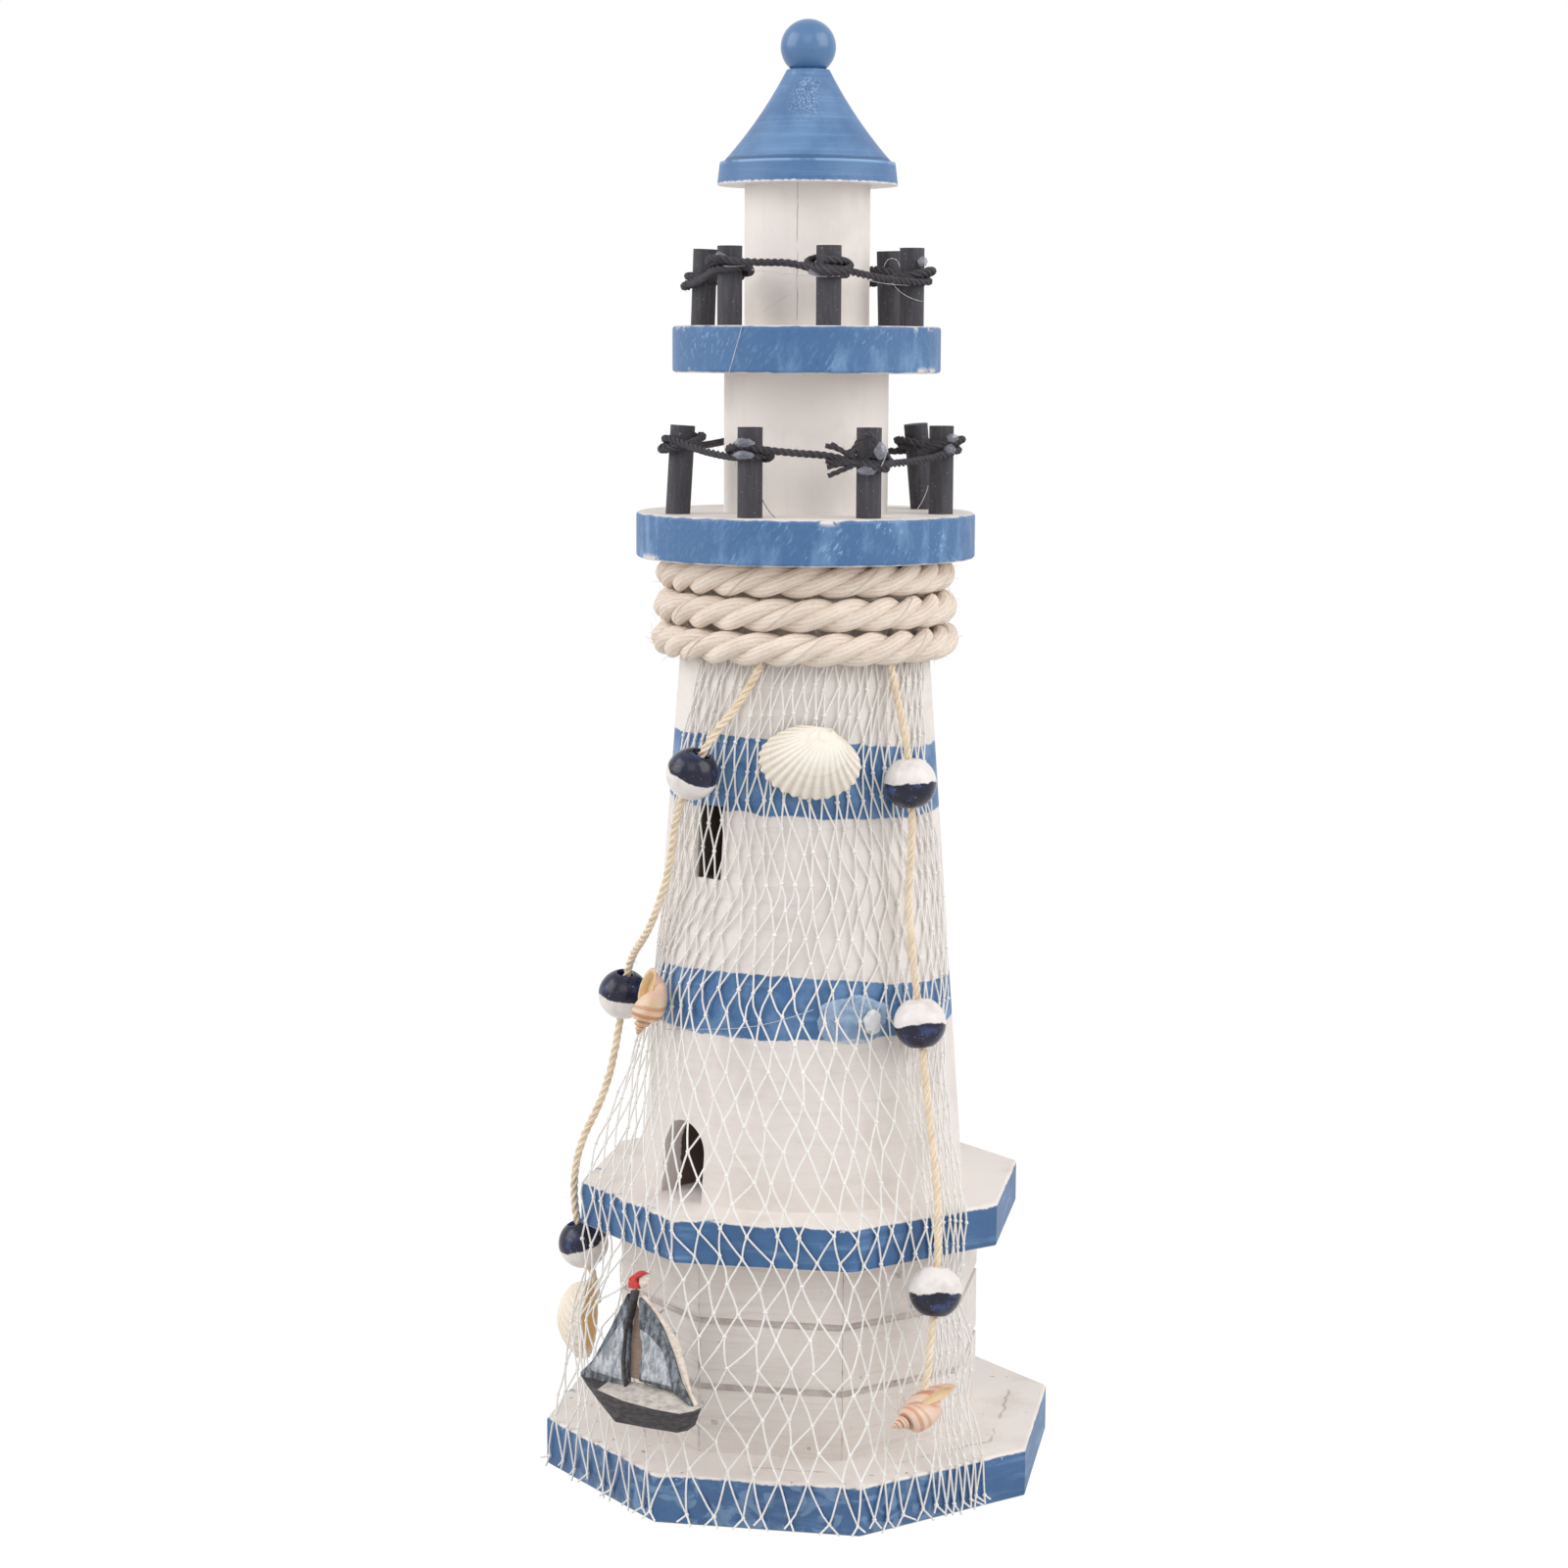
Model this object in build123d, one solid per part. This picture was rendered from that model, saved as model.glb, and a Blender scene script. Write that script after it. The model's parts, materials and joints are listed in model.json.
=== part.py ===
from build123d import *
import os
from math import atan2, ceil, cos, degrees, hypot, radians, sin, sqrt, tan

# Wooden lighthouse ornament, in millimetres. The origin is the middle of the base's underside,
# +Z is up and one flat of the octagonal base faces -Y. An azimuth turns from -Y towards +X.

# Octagonal foot: base plate, mitred wall panels and deck plate
side_count = 8
base_apothem = 55.7
base_thickness = 11.2
house_apothem = 39.4
house_height = 45.7
panel_thickness = 6.0
panel_joint_gap = 0.1
board_count = 3
groove_width = 1.6
groove_depth = 1.0
deck_apothem = 48.1
deck_thickness = 10.0
plate_edge_round = 0.6

# Turned tower with a blind door and a blind window
tower_height = 143.5
tower_foot_radius = 37.4
tower_top_radius = 26.9
door_azimuth = -38.0
door_width = 14.0
door_height = 17.7
door_depth = 15.0
window_azimuth = -32.0
window_width = 7.5
window_height = 16.4
window_sill = 72.9
window_depth = 12.0
cut_margin = 1.0

# Turned galleries, drums, roof and finial
lower_gallery_radius = 38.5
lower_gallery_thickness = 10.2
lower_drum_radius = 18.6
lower_drum_height = 31.3
upper_gallery_radius = 30.3
upper_gallery_thickness = 10.4
lantern_radius = 14.1
lantern_height = 31.3
gallery_edge_round = 0.8
roof_radius = 20.3
rim_height = 5.0
rim_taper = 0.6
rim_ledge = 0.7
roof_height = 25.4
roof_neck_radius = 4.8
roof_hollow = 0.8
ball_radius = 6.2
ball_seat_radius = 3.7

# Hidden glue dowels on the axis
dowel_diameter = 10.0
dowel_reach = 10.0
deck_dowel_reach = 7.0
finial_pin_diameter = 3.0
finial_pin_reach = 6.0
dowel_clearance = 0.05
dowel_end_gap = 0.3

# Railing posts: azimuth and inward lean in degrees, in order round each gallery
post_diameter = 5.5
post_seat = 4.0
lower_post_circle = 31.3
lower_post_height = 19.7
lower_post_places = [(36, 0), (86, 0), (130, 6), (215, 2), (304, 3.5), (347, 0)]
upper_post_circle = 24.7
upper_post_height = 17.3
upper_post_places = [(21, 0), (81, 0), (139, 2), (201, 1), (263.5, 2), (326.5, 0)]

# Railing cords, each with one turn round every post
rail_diameter = 1.8
rail_post_gap = 0.4
rail_pitch = 3.4
rail_tail = 8.0
rail_tail_slope = 12.0
lower_rail_height = 14.0
upper_rail_height = 10.8
rail_turn_steps = 5

# Rope wound in level rows under the lower gallery, each climbing to the next at the back
rope_diameter = 6.9
rope_gap = 0.6
rope_wall_gap = 0.1
rope_rows = 3
rope_climb_azimuth = 110.0
rope_end_azimuth = 108.0

# Fishing net, draped over the front from the rope to the base's edge
net_gap = 0.3
net_thickness = 0.7
net_strand = 0.9
net_columns = 4
net_mesh_height = 22.5
net_leave_height = 46.0
net_floor_gap = 0.8
net_right_share = 0.52

# Twines: hand-laid routes from under the rope, over the net and the deck's edge
twine_diameter = 2.0
left_twine_points = [
    (-4.7, -31.3, 187.6), (-8.5, -32.5, 180.0), (-15.0, -35.7, 172.5), (-23.2, -32.1, 156.0),
    (-25.6, -26.2, 142.0), (-31.0, -23.6, 127.0), (-39.2, -10.5, 117.5), (-42.0, -7.5, 100.5),
    (-44.6, -9.5, 86.0), (-51.5, -11.5, 72.0), (-52.0, -12.6, 57.6), (-47.2, -11.4, 42.4),
    (-46.6, -10.2, 35.5),
]
right_twine_points = [
    (23.1, -21.3, 187.6), (24.8, -22.2, 180.0), (27.3, -24.8, 171.5), (29.1, -25.8, 153.3),
    (27.4, -23.2, 136.0), (30.3, -27.8, 118.0), (32.5, -30.0, 100.6), (34.4, -31.8, 87.0),
    (36.9, -36.6, 72.5), (37.6, -40.8, 61.0), (37.2, -44.8, 44.0), (36.0, -47.6, 31.6),
]
twine_bend = 0.45

# Beads threaded on the twines, each on the run that starts at the numbered route point
bead_diameter = 11.7
bead_bore = 3.4
left_bead_runs = [2, 6, 10]
right_bead_runs = [2, 5, 9]

# Shells and the cast sailboat, glued on the net and at a twine's end
trim_gap = 0.3
scallop_width = 22.5
scallop_height = 17.6
scallop_depth = 5.5
scallop_side = 7.0
scallop_drop = 21.0
cockle_width = 17.0
cockle_height = 18.4
cockle_depth = 7.0
cockle_hang = 4.0
cockle_standoff = 0.9
fan_widest = 0.62
fan_shoulder = 0.36
fan_shoulder_rise = 0.27
fan_lip = 0.25
left_whelk_length = 16.0
left_whelk_radius = 4.2
right_whelk_length = 19.0
right_whelk_radius = 4.4
whelk_whorls = 5
whelk_spire_share = 0.55
whelk_swell = 0.14
whelk_mouth_share = 0.35
left_whelk_side = -3.0
left_whelk_drop = 4.0
left_whelk_turn = -10.0
right_whelk_side = -8.6
right_whelk_rise = 15.0
right_whelk_turn = -86.0
boat_length = 33.0
boat_hull_height = 8.5
boat_hull_depth = 8.0
boat_hull_draft = 15.0
boat_transom = 0.72
boat_forefoot = 0.4
boat_mast_share = 0.1
boat_sail_share = 0.82
boat_sail_height = 20.4
boat_sail_thickness = 2.0
boat_mast_diameter = 2.4
boat_peak_gap = 0.6
boat_flag = 3.2
boat_side = -5.0
boat_rise = 11.0
boat_roll = -5.0

# Heights of the stacked pieces
base_top = base_thickness
deck_bottom = base_top + house_height
deck_top = deck_bottom + deck_thickness
tower_top = deck_top + tower_height
lower_gallery_top = tower_top + lower_gallery_thickness
lower_drum_top = lower_gallery_top + lower_drum_height
upper_gallery_top = lower_drum_top + upper_gallery_thickness
lantern_top = upper_gallery_top + lantern_height
roof_top = lantern_top + roof_height
ball_centre = roof_top + sqrt(ball_radius**2 - ball_seat_radius**2)
facet_turn = 360 / side_count
half_facet = tan(radians(facet_turn / 2))

UPRIGHT = (Align.CENTER, Align.CENTER, Align.MIN)
nodes = {}


def outward(azimuth):
    """Level unit vector away from the axis."""
    return Vector(sin(radians(azimuth)), -cos(radians(azimuth)), 0)


def sideways(azimuth):
    """Level unit vector to the right of someone who faces the object at this azimuth."""
    return Vector(cos(radians(azimuth)), sin(radians(azimuth)), 0)


def place(azimuth, radius, z):
    return outward(azimuth) * radius + Vector(0, 0, z)


def tower_radius(z):
    """Radius of the tower's wall at a height above the floor."""
    return tower_foot_radius + (tower_top_radius - tower_foot_radius) * (z - deck_top) / tower_height


def octagon_plate(apothem, thickness, z):
    """Flat octagonal plate with softened edges."""
    outline = RegularPolygon(apothem, side_count, major_radius=False, rotation=facet_turn / 2)
    plate = extrude(outline, thickness)
    rims = plate.edges().group_by(Axis.Z)[0] + plate.edges().group_by(Axis.Z)[-1]
    return Pos(0, 0, z) * fillet(rims, plate_edge_round)


def round_plate(radius, thickness, z):
    """Turned disc with softened edges."""
    plate = Cylinder(radius, thickness, align=UPRIGHT)
    return Pos(0, 0, z) * fillet(plate.edges().filter_by(GeomType.CIRCLE), gallery_edge_round)


def drum(radius, height, z):
    return Pos(0, 0, z) * Cylinder(radius, height, align=UPRIGHT)


# Glue dowels on the axis, and the holes that they go in
dowels = {
    "deck_dowel": (dowel_diameter, deck_top - deck_dowel_reach, deck_top + dowel_reach),
    "lower_dowel": (dowel_diameter, tower_top - dowel_reach, lower_gallery_top + dowel_reach),
    "upper_dowel": (dowel_diameter, lower_drum_top - dowel_reach, upper_gallery_top + dowel_reach),
    "roof_dowel": (dowel_diameter, lantern_top - dowel_reach, lantern_top + dowel_reach),
    "finial_pin": (finial_pin_diameter, roof_top - finial_pin_reach, roof_top + finial_pin_reach),
}
dowel_holes = []
for name, (diameter, low, high) in dowels.items():
    nodes[name] = drum(diameter / 2, high - low, low)
    dowel_holes.append(
        drum(diameter / 2 + dowel_clearance, high - low + 2 * dowel_end_gap, low - dowel_end_gap)
    )

# Base plate and deck plate
nodes["base_plate"] = octagon_plate(base_apothem, base_thickness, 0)
nodes["deck_plate"] = octagon_plate(deck_apothem, deck_thickness, deck_bottom) - dowel_holes

# House walls: eight mitred panels with board lines cut across their faces
inner_half = (house_apothem - panel_thickness) * half_facet - panel_joint_gap / 2
outer_half = house_apothem * half_facet - panel_joint_gap / 2
panel_outline = make_face(
    Polyline(
        (-inner_half, panel_thickness - house_apothem), (-outer_half, -house_apothem),
        (outer_half, -house_apothem), (inner_half, panel_thickness - house_apothem), close=True,
    )
)
panel = Pos(0, 0, base_top) * extrude(panel_outline, house_height)
board_height = house_height / board_count
for board in range(1, board_count):
    groove = Box(2 * (outer_half + cut_margin), 2 * groove_depth, groove_width)
    panel -= Pos(0, -house_apothem, base_top + board * board_height) * groove
for facet in range(side_count):
    nodes[f"house_panel_{facet + 1}"] = Rot(0, 0, facet * facet_turn) * panel


def recess(azimuth, sill, outline, depth):
    """Cutter for a blind recess, square to the tower's axis and depth deep at its sill."""
    back = place(azimuth, tower_radius(sill) - depth, sill)
    return Plane(back, x_dir=sideways(azimuth), z_dir=outward(azimuth)) * extrude(outline, 2 * depth)


# Tower: one turned cone
arch_foot = door_height - door_width / 2
STANDING = (Align.CENTER, Align.MIN)
door_outline = Pos(0, -cut_margin) * Rectangle(door_width, arch_foot + cut_margin, align=STANDING)
door_outline += Pos(0, arch_foot) * Circle(door_width / 2)
window_outline = Rectangle(window_width, window_height, align=STANDING)
tower = Pos(0, 0, deck_top) * Cone(tower_foot_radius, tower_top_radius, tower_height, align=UPRIGHT)
tower -= recess(door_azimuth, deck_top, door_outline, door_depth)
tower -= recess(window_azimuth, deck_top + window_sill, window_outline, window_depth)
nodes["tower"] = tower - dowel_holes


def post_frame(place_and_lean, circle, z):
    """Frame at a post's foot on the gallery, with its own lean as the Z axis."""
    azimuth, lean = place_and_lean
    axis = Vector(0, 0, cos(radians(lean))) - outward(azimuth) * sin(radians(lean))
    return Plane(place(azimuth, circle, z), x_dir=sideways(azimuth), z_dir=axis)


def gallery_with_posts(level, radius, thickness, z, circle, height, places):
    """Gallery disc with a blind hole for each post, and its posts as nodes of their own."""
    disc = round_plate(radius, thickness, z) - dowel_holes
    for number, entry in enumerate(places, 1):
        frame = post_frame(entry, circle, z + thickness)
        hole_depth = post_seat + dowel_end_gap
        hole = Cylinder(post_diameter / 2 + dowel_clearance, hole_depth + cut_margin, align=UPRIGHT)
        disc -= frame * Pos(0, 0, -hole_depth) * hole
        post = Cylinder(post_diameter / 2, height + post_seat, align=UPRIGHT)
        nodes[f"{level}_post_{number}"] = frame * Pos(0, 0, -post_seat) * post
    nodes[f"{level}_gallery"] = disc


gallery_with_posts(
    "lower", lower_gallery_radius, lower_gallery_thickness, tower_top,
    lower_post_circle, lower_post_height, lower_post_places,
)
gallery_with_posts(
    "upper", upper_gallery_radius, upper_gallery_thickness, lower_drum_top,
    upper_post_circle, upper_post_height, upper_post_places,
)

# Drums between the galleries and under the roof
nodes["lower_drum"] = drum(lower_drum_radius, lower_drum_height, lower_gallery_top) - dowel_holes
nodes["lantern_drum"] = drum(lantern_radius, lantern_height, upper_gallery_top) - dowel_holes

# Roof cap: a rim, a small ledge and a slightly hollow cone
rim_top_radius = roof_radius - rim_taper
cone_foot = Vector(rim_top_radius - rim_ledge, rim_height)
cone_top = Vector(roof_neck_radius, roof_height)
cone_line = (cone_top - cone_foot).normalized()
cone_middle = (cone_foot + cone_top) / 2 - Vector(cone_line.Y, -cone_line.X) * roof_hollow
roof_outline = make_face([
    Polyline((0, roof_height), (0, 0), (roof_radius, 0), (rim_top_radius, rim_height), cone_foot),
    ThreePointArc(cone_foot, cone_middle, cone_top),
    Line(cone_top, (0, roof_height)),
])
nodes["roof_cap"] = Pos(0, 0, lantern_top) * revolve(Plane.XZ * roof_outline, Axis.Z) - dowel_holes

# Finial ball, cut flat where it stands on the roof's neck
ball = split(Pos(0, 0, ball_centre) * Sphere(ball_radius), Plane((0, 0, roof_top)), keep=Keep.TOP)
nodes["finial_ball"] = ball - dowel_holes


def smooth_path(stations):
    """Wire through (point, direction) stations: straight where they line up, else two tangent arcs."""
    in_line = 1 - 1e-9
    edges = []
    for (start, leave), (end, reach) in zip(stations, stations[1:]):
        step = end - start
        if step.normalized().dot(leave) > in_line and step.normalized().dot(reach) > in_line:
            edges.append(Line(start, end))
            continue
        along = step.dot(leave + reach)
        spread = 2 * (1 - leave.dot(reach))
        handle = (sqrt(along**2 + spread * step.dot(step)) - along) / spread
        first = start + leave * handle
        second = end - reach * handle
        middle = (first + second) / 2
        edges.append(TangentArc(start, middle, tangent=leave))
        edges.append(TangentArc(middle, end, tangent=second - first))
    return Wire(edges)


def tube(path, diameter):
    """Round tube swept along a path."""
    return sweep(Plane(path @ 0, z_dir=path % 0) * Circle(diameter / 2), path=path)


def least_gap(path, diameter):
    """Least clear distance between stretches of one tube that aren't neighbours along it."""
    fineness, neighbours = 3, 3
    count = ceil(path.length / diameter * fineness)
    points = path.positions([i / count for i in range(count + 1)])
    apart = neighbours * fineness
    pairs = ((points[i], points[j]) for i in range(count) for j in range(i + apart, count + 1))
    return min((a - b).length for a, b in pairs) - diameter


# Rope winding: level rows on the tower, with straight ends out of sight at the back
rope_stations = []


def rope_station(azimuth, z):
    """Point of the rope's middle line on the tower's wall, and its direction there."""
    return place(azimuth, tower_radius(z) + rope_diameter / 2 + rope_wall_gap, z), sideways(azimuth)


for row in range(rope_rows):
    row_z = tower_top - rope_wall_gap - rope_diameter / 2 - row * (rope_diameter + rope_gap)
    first = -rope_end_azimuth if row == 0 else -rope_climb_azimuth
    last = rope_end_azimuth if row == rope_rows - 1 else rope_climb_azimuth
    arcs = ceil((last - first) / 90)
    rope_stations += [rope_station(first + (last - first) * i / arcs, row_z) for i in range(arcs + 1)]
start, along = rope_stations[0]
rope_stations.insert(0, (start - along * rope_diameter, along))
end, along = rope_stations[-1]
rope_stations.append((end + along * rope_diameter, along))
rope_path = smooth_path(rope_stations)
nodes["rope_winding"] = tube(rope_path, rope_diameter)
rope_bottom = row_z - rope_diameter / 2
print("rope gap", round(least_gap(rope_path, rope_diameter), 2), "length", round(rope_path.length, 1))


def rail_path(places, circle, foot, height):
    """Middle line of a cord: a tail, a full turn round each post in order, and a last half turn."""
    z = foot + height
    reach = (post_diameter + rail_diameter) / 2 + rail_post_gap
    centres = [place(azimuth, circle - height * tan(radians(lean)), 0) for azimuth, lean in places]
    runs = [(b - a).normalized() for a, b in zip(centres, centres[1:] + centres[:1])]
    angles = [degrees(atan2(-run.X, run.Y)) for run in runs]

    def touch(post, angle, level):
        """Point on the cord's circle round a post, at an angle from +X."""
        spin = radians(angle)
        return centres[post] + Vector(reach * cos(spin), reach * sin(spin), level)

    def heading(angle, climb):
        spin = radians(angle)
        return Vector(-sin(spin), cos(spin), climb).normalized()

    arrive = heading(angles[-1], -tan(radians(rail_tail_slope)))
    stations = [(touch(0, angles[-1], z) - arrive * rail_tail, arrive)]
    count = len(places)
    for post in range(count):
        enter = angles[post - 1]
        turn = 360 + (angles[post] - enter) % 360
        rise = rail_pitch * turn / 360
        climb = rise / (radians(turn) * reach)
        leave_point = touch(post, enter + turn, z + rise)
        next_level = z if post < count - 1 else z - rail_pitch
        next_point = touch((post + 1) % count, angles[post], next_level)
        leave = (next_point - leave_point).normalized()
        stations.append((touch(post, enter, z), arrive))
        for step in range(1, rail_turn_steps):
            share = step / rail_turn_steps
            angle = enter + turn * share
            stations.append((touch(post, angle, z + rise * share), heading(angle, climb)))
        stations.append((leave_point, leave))
        arrive = leave
    stations.append((next_point, arrive))
    for quarter in (90, 180):
        angle = angles[-1] + quarter
        stations.append((touch(0, angle, z - rail_pitch), heading(angle, 0)))
    end, along = stations[-1]
    stations.append((end + along * rail_diameter, along))
    return smooth_path(stations)


# Railing cords, tied to the posts
for level, places, circle, foot, height in (
    ("lower", lower_post_places, lower_post_circle, lower_gallery_top, lower_rail_height),
    ("upper", upper_post_places, upper_post_circle, upper_gallery_top, upper_rail_height),
):
    path = rail_path(places, circle, foot, height)
    nodes[f"{level}_rail_cord"] = tube(path, rail_diameter)
    print(level, "rail gap", round(least_gap(path, rail_diameter), 2), "length", round(path.length, 1))

# Net: five bands of netting, each with a flat panel on the front three facets.
# A level is the net's inner distance from the axis on a facet, its height and its right edge.
net_top = rope_bottom - net_gap
net_leave = deck_top + net_leave_height
net_levels = [
    (tower_radius(net_top) + net_gap, net_top, 1.0),
    (tower_radius(net_leave) + net_gap, net_leave, 1.0),
    (deck_apothem + net_gap, deck_top, net_right_share),
    (deck_apothem + net_gap, deck_bottom, net_right_share),
    (base_apothem + net_gap, base_top, net_right_share),
    (base_apothem + net_gap, net_floor_gap, net_right_share),
]
net_bands = ["net_tower_band", "net_upper_skirt", "net_deck_band", "net_lower_skirt", "net_base_band"]
net_drops = [hypot(b[0] - a[0], b[1] - a[1]) for a, b in zip(net_levels, net_levels[1:])]


def band_frame(band, azimuth, shrink=1.0):
    """Frame on a band's inner face: origin at its lower edge, Y up the net and Z away from the object."""
    upper, lower = net_levels[band], net_levels[band + 1]
    foot = place(azimuth, lower[0] / shrink, lower[1])
    up = place(azimuth, upper[0] / shrink, upper[1]) - foot
    side = sideways(azimuth)
    return Plane(foot, x_dir=side, z_dir=side.cross(up))


def net_panel(band, right_edges):
    """One flat holed panel of netting, between two levels, in its band's frame."""
    drop = net_drops[band]
    low_half = net_levels[band + 1][0] * half_facet
    high_half = net_levels[band][0] * half_facet
    high_right, low_right = right_edges

    def trapezoid(inset):
        """The panel's outline, drawn in by an inset."""
        return make_face(
            Polyline(
                (inset - low_half, inset), (low_right * low_half - inset, inset),
                (high_right * high_half - inset, drop - inset), (inset - high_half, drop - inset), close=True,
            )
        )

    above = sum(net_drops[:band])
    rows = range(int(2 * above / net_mesh_height), int(2 * (above + drop) / net_mesh_height) + 2)
    meshes = []
    for row in rows:
        y = above + drop - row * net_mesh_height / 2
        half_width = low_half + (high_half - low_half) * min(max(y / drop, 0), 1)
        reach_x, reach_y = half_width / net_columns, net_mesh_height / 2
        trim = 1 - net_strand / 2 * hypot(reach_x, reach_y) / (reach_x * reach_y)
        for column in range(net_columns + row % 2):
            x = half_width * (2 * column + 1 - row % 2) / net_columns - half_width
            across, along = reach_x * trim, reach_y * trim
            corners = ((x + across, y), (x, y + along), (x - across, y), (x, y - along))
            meshes.append(Polygon(*corners, align=None))
    holes = (Sketch() + meshes) & trapezoid(net_strand)
    return extrude(trapezoid(net_gap / 2) - holes, net_thickness)


for band, name in enumerate(net_bands):
    full = net_panel(band, (1.0, 1.0))
    short = net_panel(band, (net_levels[band][2], net_levels[band + 1][2]))
    nodes[name] = Compound([
        band_frame(band, -facet_turn) * full,
        band_frame(band, 0) * full,
        band_frame(band, facet_turn) * short,
    ])
panel_holes = sum(len(face.inner_wires()) for name in net_bands for face in nodes[name].faces())
print("net gaps", panel_holes // 2)


def twine_path(points):
    """Straight runs joined by arcs that are as large as their two runs allow."""
    stops = [Vector(*point) for point in points]
    runs = [b - a for a, b in zip(stops, stops[1:])]
    radii = []
    for before, after in zip(runs, runs[1:]):
        turn = radians(before.get_angle(after))
        radii.append(twine_bend * min(before.length, after.length) / tan(turn / 2))
    print("twine radii", [round(radius, 1) for radius in radii])
    return FilletPolyline(*stops, radius=radii)


def threaded_bead(points, run):
    """Bead on one run of a twine, with its bore along the run."""
    a, b = Vector(*points[run]), Vector(*points[run + 1])
    bead = Sphere(bead_diameter / 2) - Cylinder(bead_bore / 2, 2 * bead_diameter)
    return Plane((a + b) / 2, z_dir=b - a) * bead


# Twines and the beads on them
for side, points, bead_runs in (
    ("left", left_twine_points, left_bead_runs), ("right", right_twine_points, right_bead_runs),
):
    path = twine_path(points)
    twine = tube(path, twine_diameter)
    nodes[f"{side}_twine"] = twine
    volume_share = twine.volume / Circle(twine_diameter / 2).area / path.length
    print(side, "twine length", round(path.length, 1), "volume share", round(volume_share, 4))
    for number, run in enumerate(bead_runs, 1):
        bead = threaded_bead(points, run)
        nodes[f"{side}_bead_{number}"] = bead
        centre = (Vector(*points[run]) + Vector(*points[run + 1])) / 2
        bore = (Vector(*points[run + 1]) - Vector(*points[run])).normalized()
        print(side, "bead", number, [round(v, 3) for v in centre], [round(v, 5) for v in bore])


def fan_shell(width, height, depth):
    """Half shell with a flat back: a fan outline under a domed face, its hinge end up."""
    hinge = (0, height / 2)
    widest_y = height / 2 - fan_widest * height
    left, right = (-width / 2, widest_y), (width / 2, widest_y)
    shoulder_x, shoulder_y = fan_shoulder * width, fan_shoulder_rise * height
    outline = make_face([
        ThreePointArc(left, (0, -height / 2), right),
        ThreePointArc(right, (shoulder_x, shoulder_y), hinge),
        ThreePointArc(hinge, (-shoulder_x, shoulder_y), left),
    ])
    reach = max(width, height) / 2 + fan_lip * depth
    dome_radius = (reach**2 + depth**2) / (2 * depth)
    return extrude(outline, depth) & Pos(0, 0, depth - dome_radius) * Sphere(dome_radius)


def whelk(length, radius):
    """Spiral shell as a turned spindle along Y: whorls swell towards the mouth end, with the tip down."""
    tip = Vector(0, -length / 2)
    mouth = Vector(radius * whelk_mouth_share, length / 2)
    seams = [tip]
    swells = []
    for whorl in range(1, whelk_whorls + 1):
        share = whorl / whelk_whorls
        seams.append(Vector(radius * (1 - whelk_swell) * share, tip.Y + length * whelk_spire_share * share))
        swells.append(Vector(radius * whelk_swell * share, 0))
    edges = []
    for low, high, swell in zip(seams, seams[1:], swells):
        edges.append(ThreePointArc(low, (low + high) / 2 + swell, high))
    belly = Vector(radius, seams[-1].Y + length * whelk_swell)
    edges.append(ThreePointArc(seams[-1], belly, mouth))
    edges.append(Polyline(mouth, (0, length / 2), tip))
    return revolve(make_face(edges), Axis.Y)


# Scallop on the front of the tower and cockle at the left twine's end
band = band_frame(0, 0)
shell_lift = net_thickness + trim_gap
scallop_y = (rope_bottom - scallop_drop - band.origin.Z) / band.y_dir.Z
nodes["scallop_shell"] = band * Pos(scallop_side, scallop_y, shell_lift) * fan_shell(
    scallop_width, scallop_height, scallop_depth
)
twine_end = Vector(*left_twine_points[-1])
cockle_reach = Vector(twine_diameter / 2 + cockle_standoff, 0, cockle_hang)
cockle_back = Plane(twine_end - cockle_reach, x_dir=(0, -1, 0), z_dir=(-1, 0, 0))
nodes["left_cockle"] = cockle_back * fan_shell(cockle_width, cockle_height, cockle_depth)

# Whelks on the net beside the left twine and at the right twine's end
left_spot = Pos(left_whelk_side, net_drops[1] - left_whelk_drop, shell_lift + left_whelk_radius)
left_shell = Rot(0, 0, left_whelk_turn) * whelk(left_whelk_length, left_whelk_radius)
nodes["left_whelk"] = band_frame(1, -facet_turn) * left_spot * left_shell
right_spot = Pos(right_whelk_side, right_whelk_rise, shell_lift + right_whelk_radius)
right_shell = Rot(0, 0, right_whelk_turn) * whelk(right_whelk_length, right_whelk_radius)
nodes["right_whelk"] = band_frame(3, facet_turn) * right_spot * right_shell


def sailboat():
    """Cast boat with a flat back in its own XY plane: hull, mast, two sails and a pennant."""
    half = boat_length / 2
    stern = (boat_transom * half, -boat_hull_height)
    stem = (-boat_forefoot * half, -boat_hull_height)
    bow = (-half, 0)
    bow_swell = (-(1 + boat_forefoot) / 2 * half - cut_margin, -boat_hull_height / 2)
    hull_outline = make_face([Polyline(stem, stern, (half, 0), bow), ThreePointArc(bow, bow_swell, stem)])
    hull = extrude(hull_outline, boat_hull_depth, taper=boat_hull_draft)
    mast_x = -boat_mast_share * half
    mast_height = boat_sail_height + boat_peak_gap + boat_flag
    foot = -cut_margin
    mast = Pos(mast_x, foot, boat_sail_thickness) * Rot(-90, 0, 0) * Cylinder(
        boat_mast_diameter / 2, mast_height - foot, align=UPRIGHT
    )
    jib = Polygon((mast_x, boat_sail_height), (-boat_sail_share * half, foot), (mast_x, foot), align=None)
    main = Polygon((mast_x, boat_sail_height), (mast_x, foot), (boat_sail_share * half, foot), align=None)
    flag = Polygon(
        (mast_x, mast_height), (mast_x, mast_height - boat_flag),
        (mast_x + 2 * boat_flag, mast_height - boat_flag / 2), align=None,
    )
    sails = extrude(jib + main + flag, boat_sail_thickness)
    return hull + sails + mast


# Sailboat on the fold of the lower skirt at the front left corner
corner_share = cos(radians(facet_turn / 2))
boat_frame = band_frame(3, -facet_turn / 2, corner_share)
boat_lift = net_thickness / corner_share + trim_gap
nodes["sailboat_charm"] = (
    boat_frame * Pos(boat_side, boat_rise + boat_hull_height, boat_lift) * Rot(0, 0, boat_roll) * sailboat()
)

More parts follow.
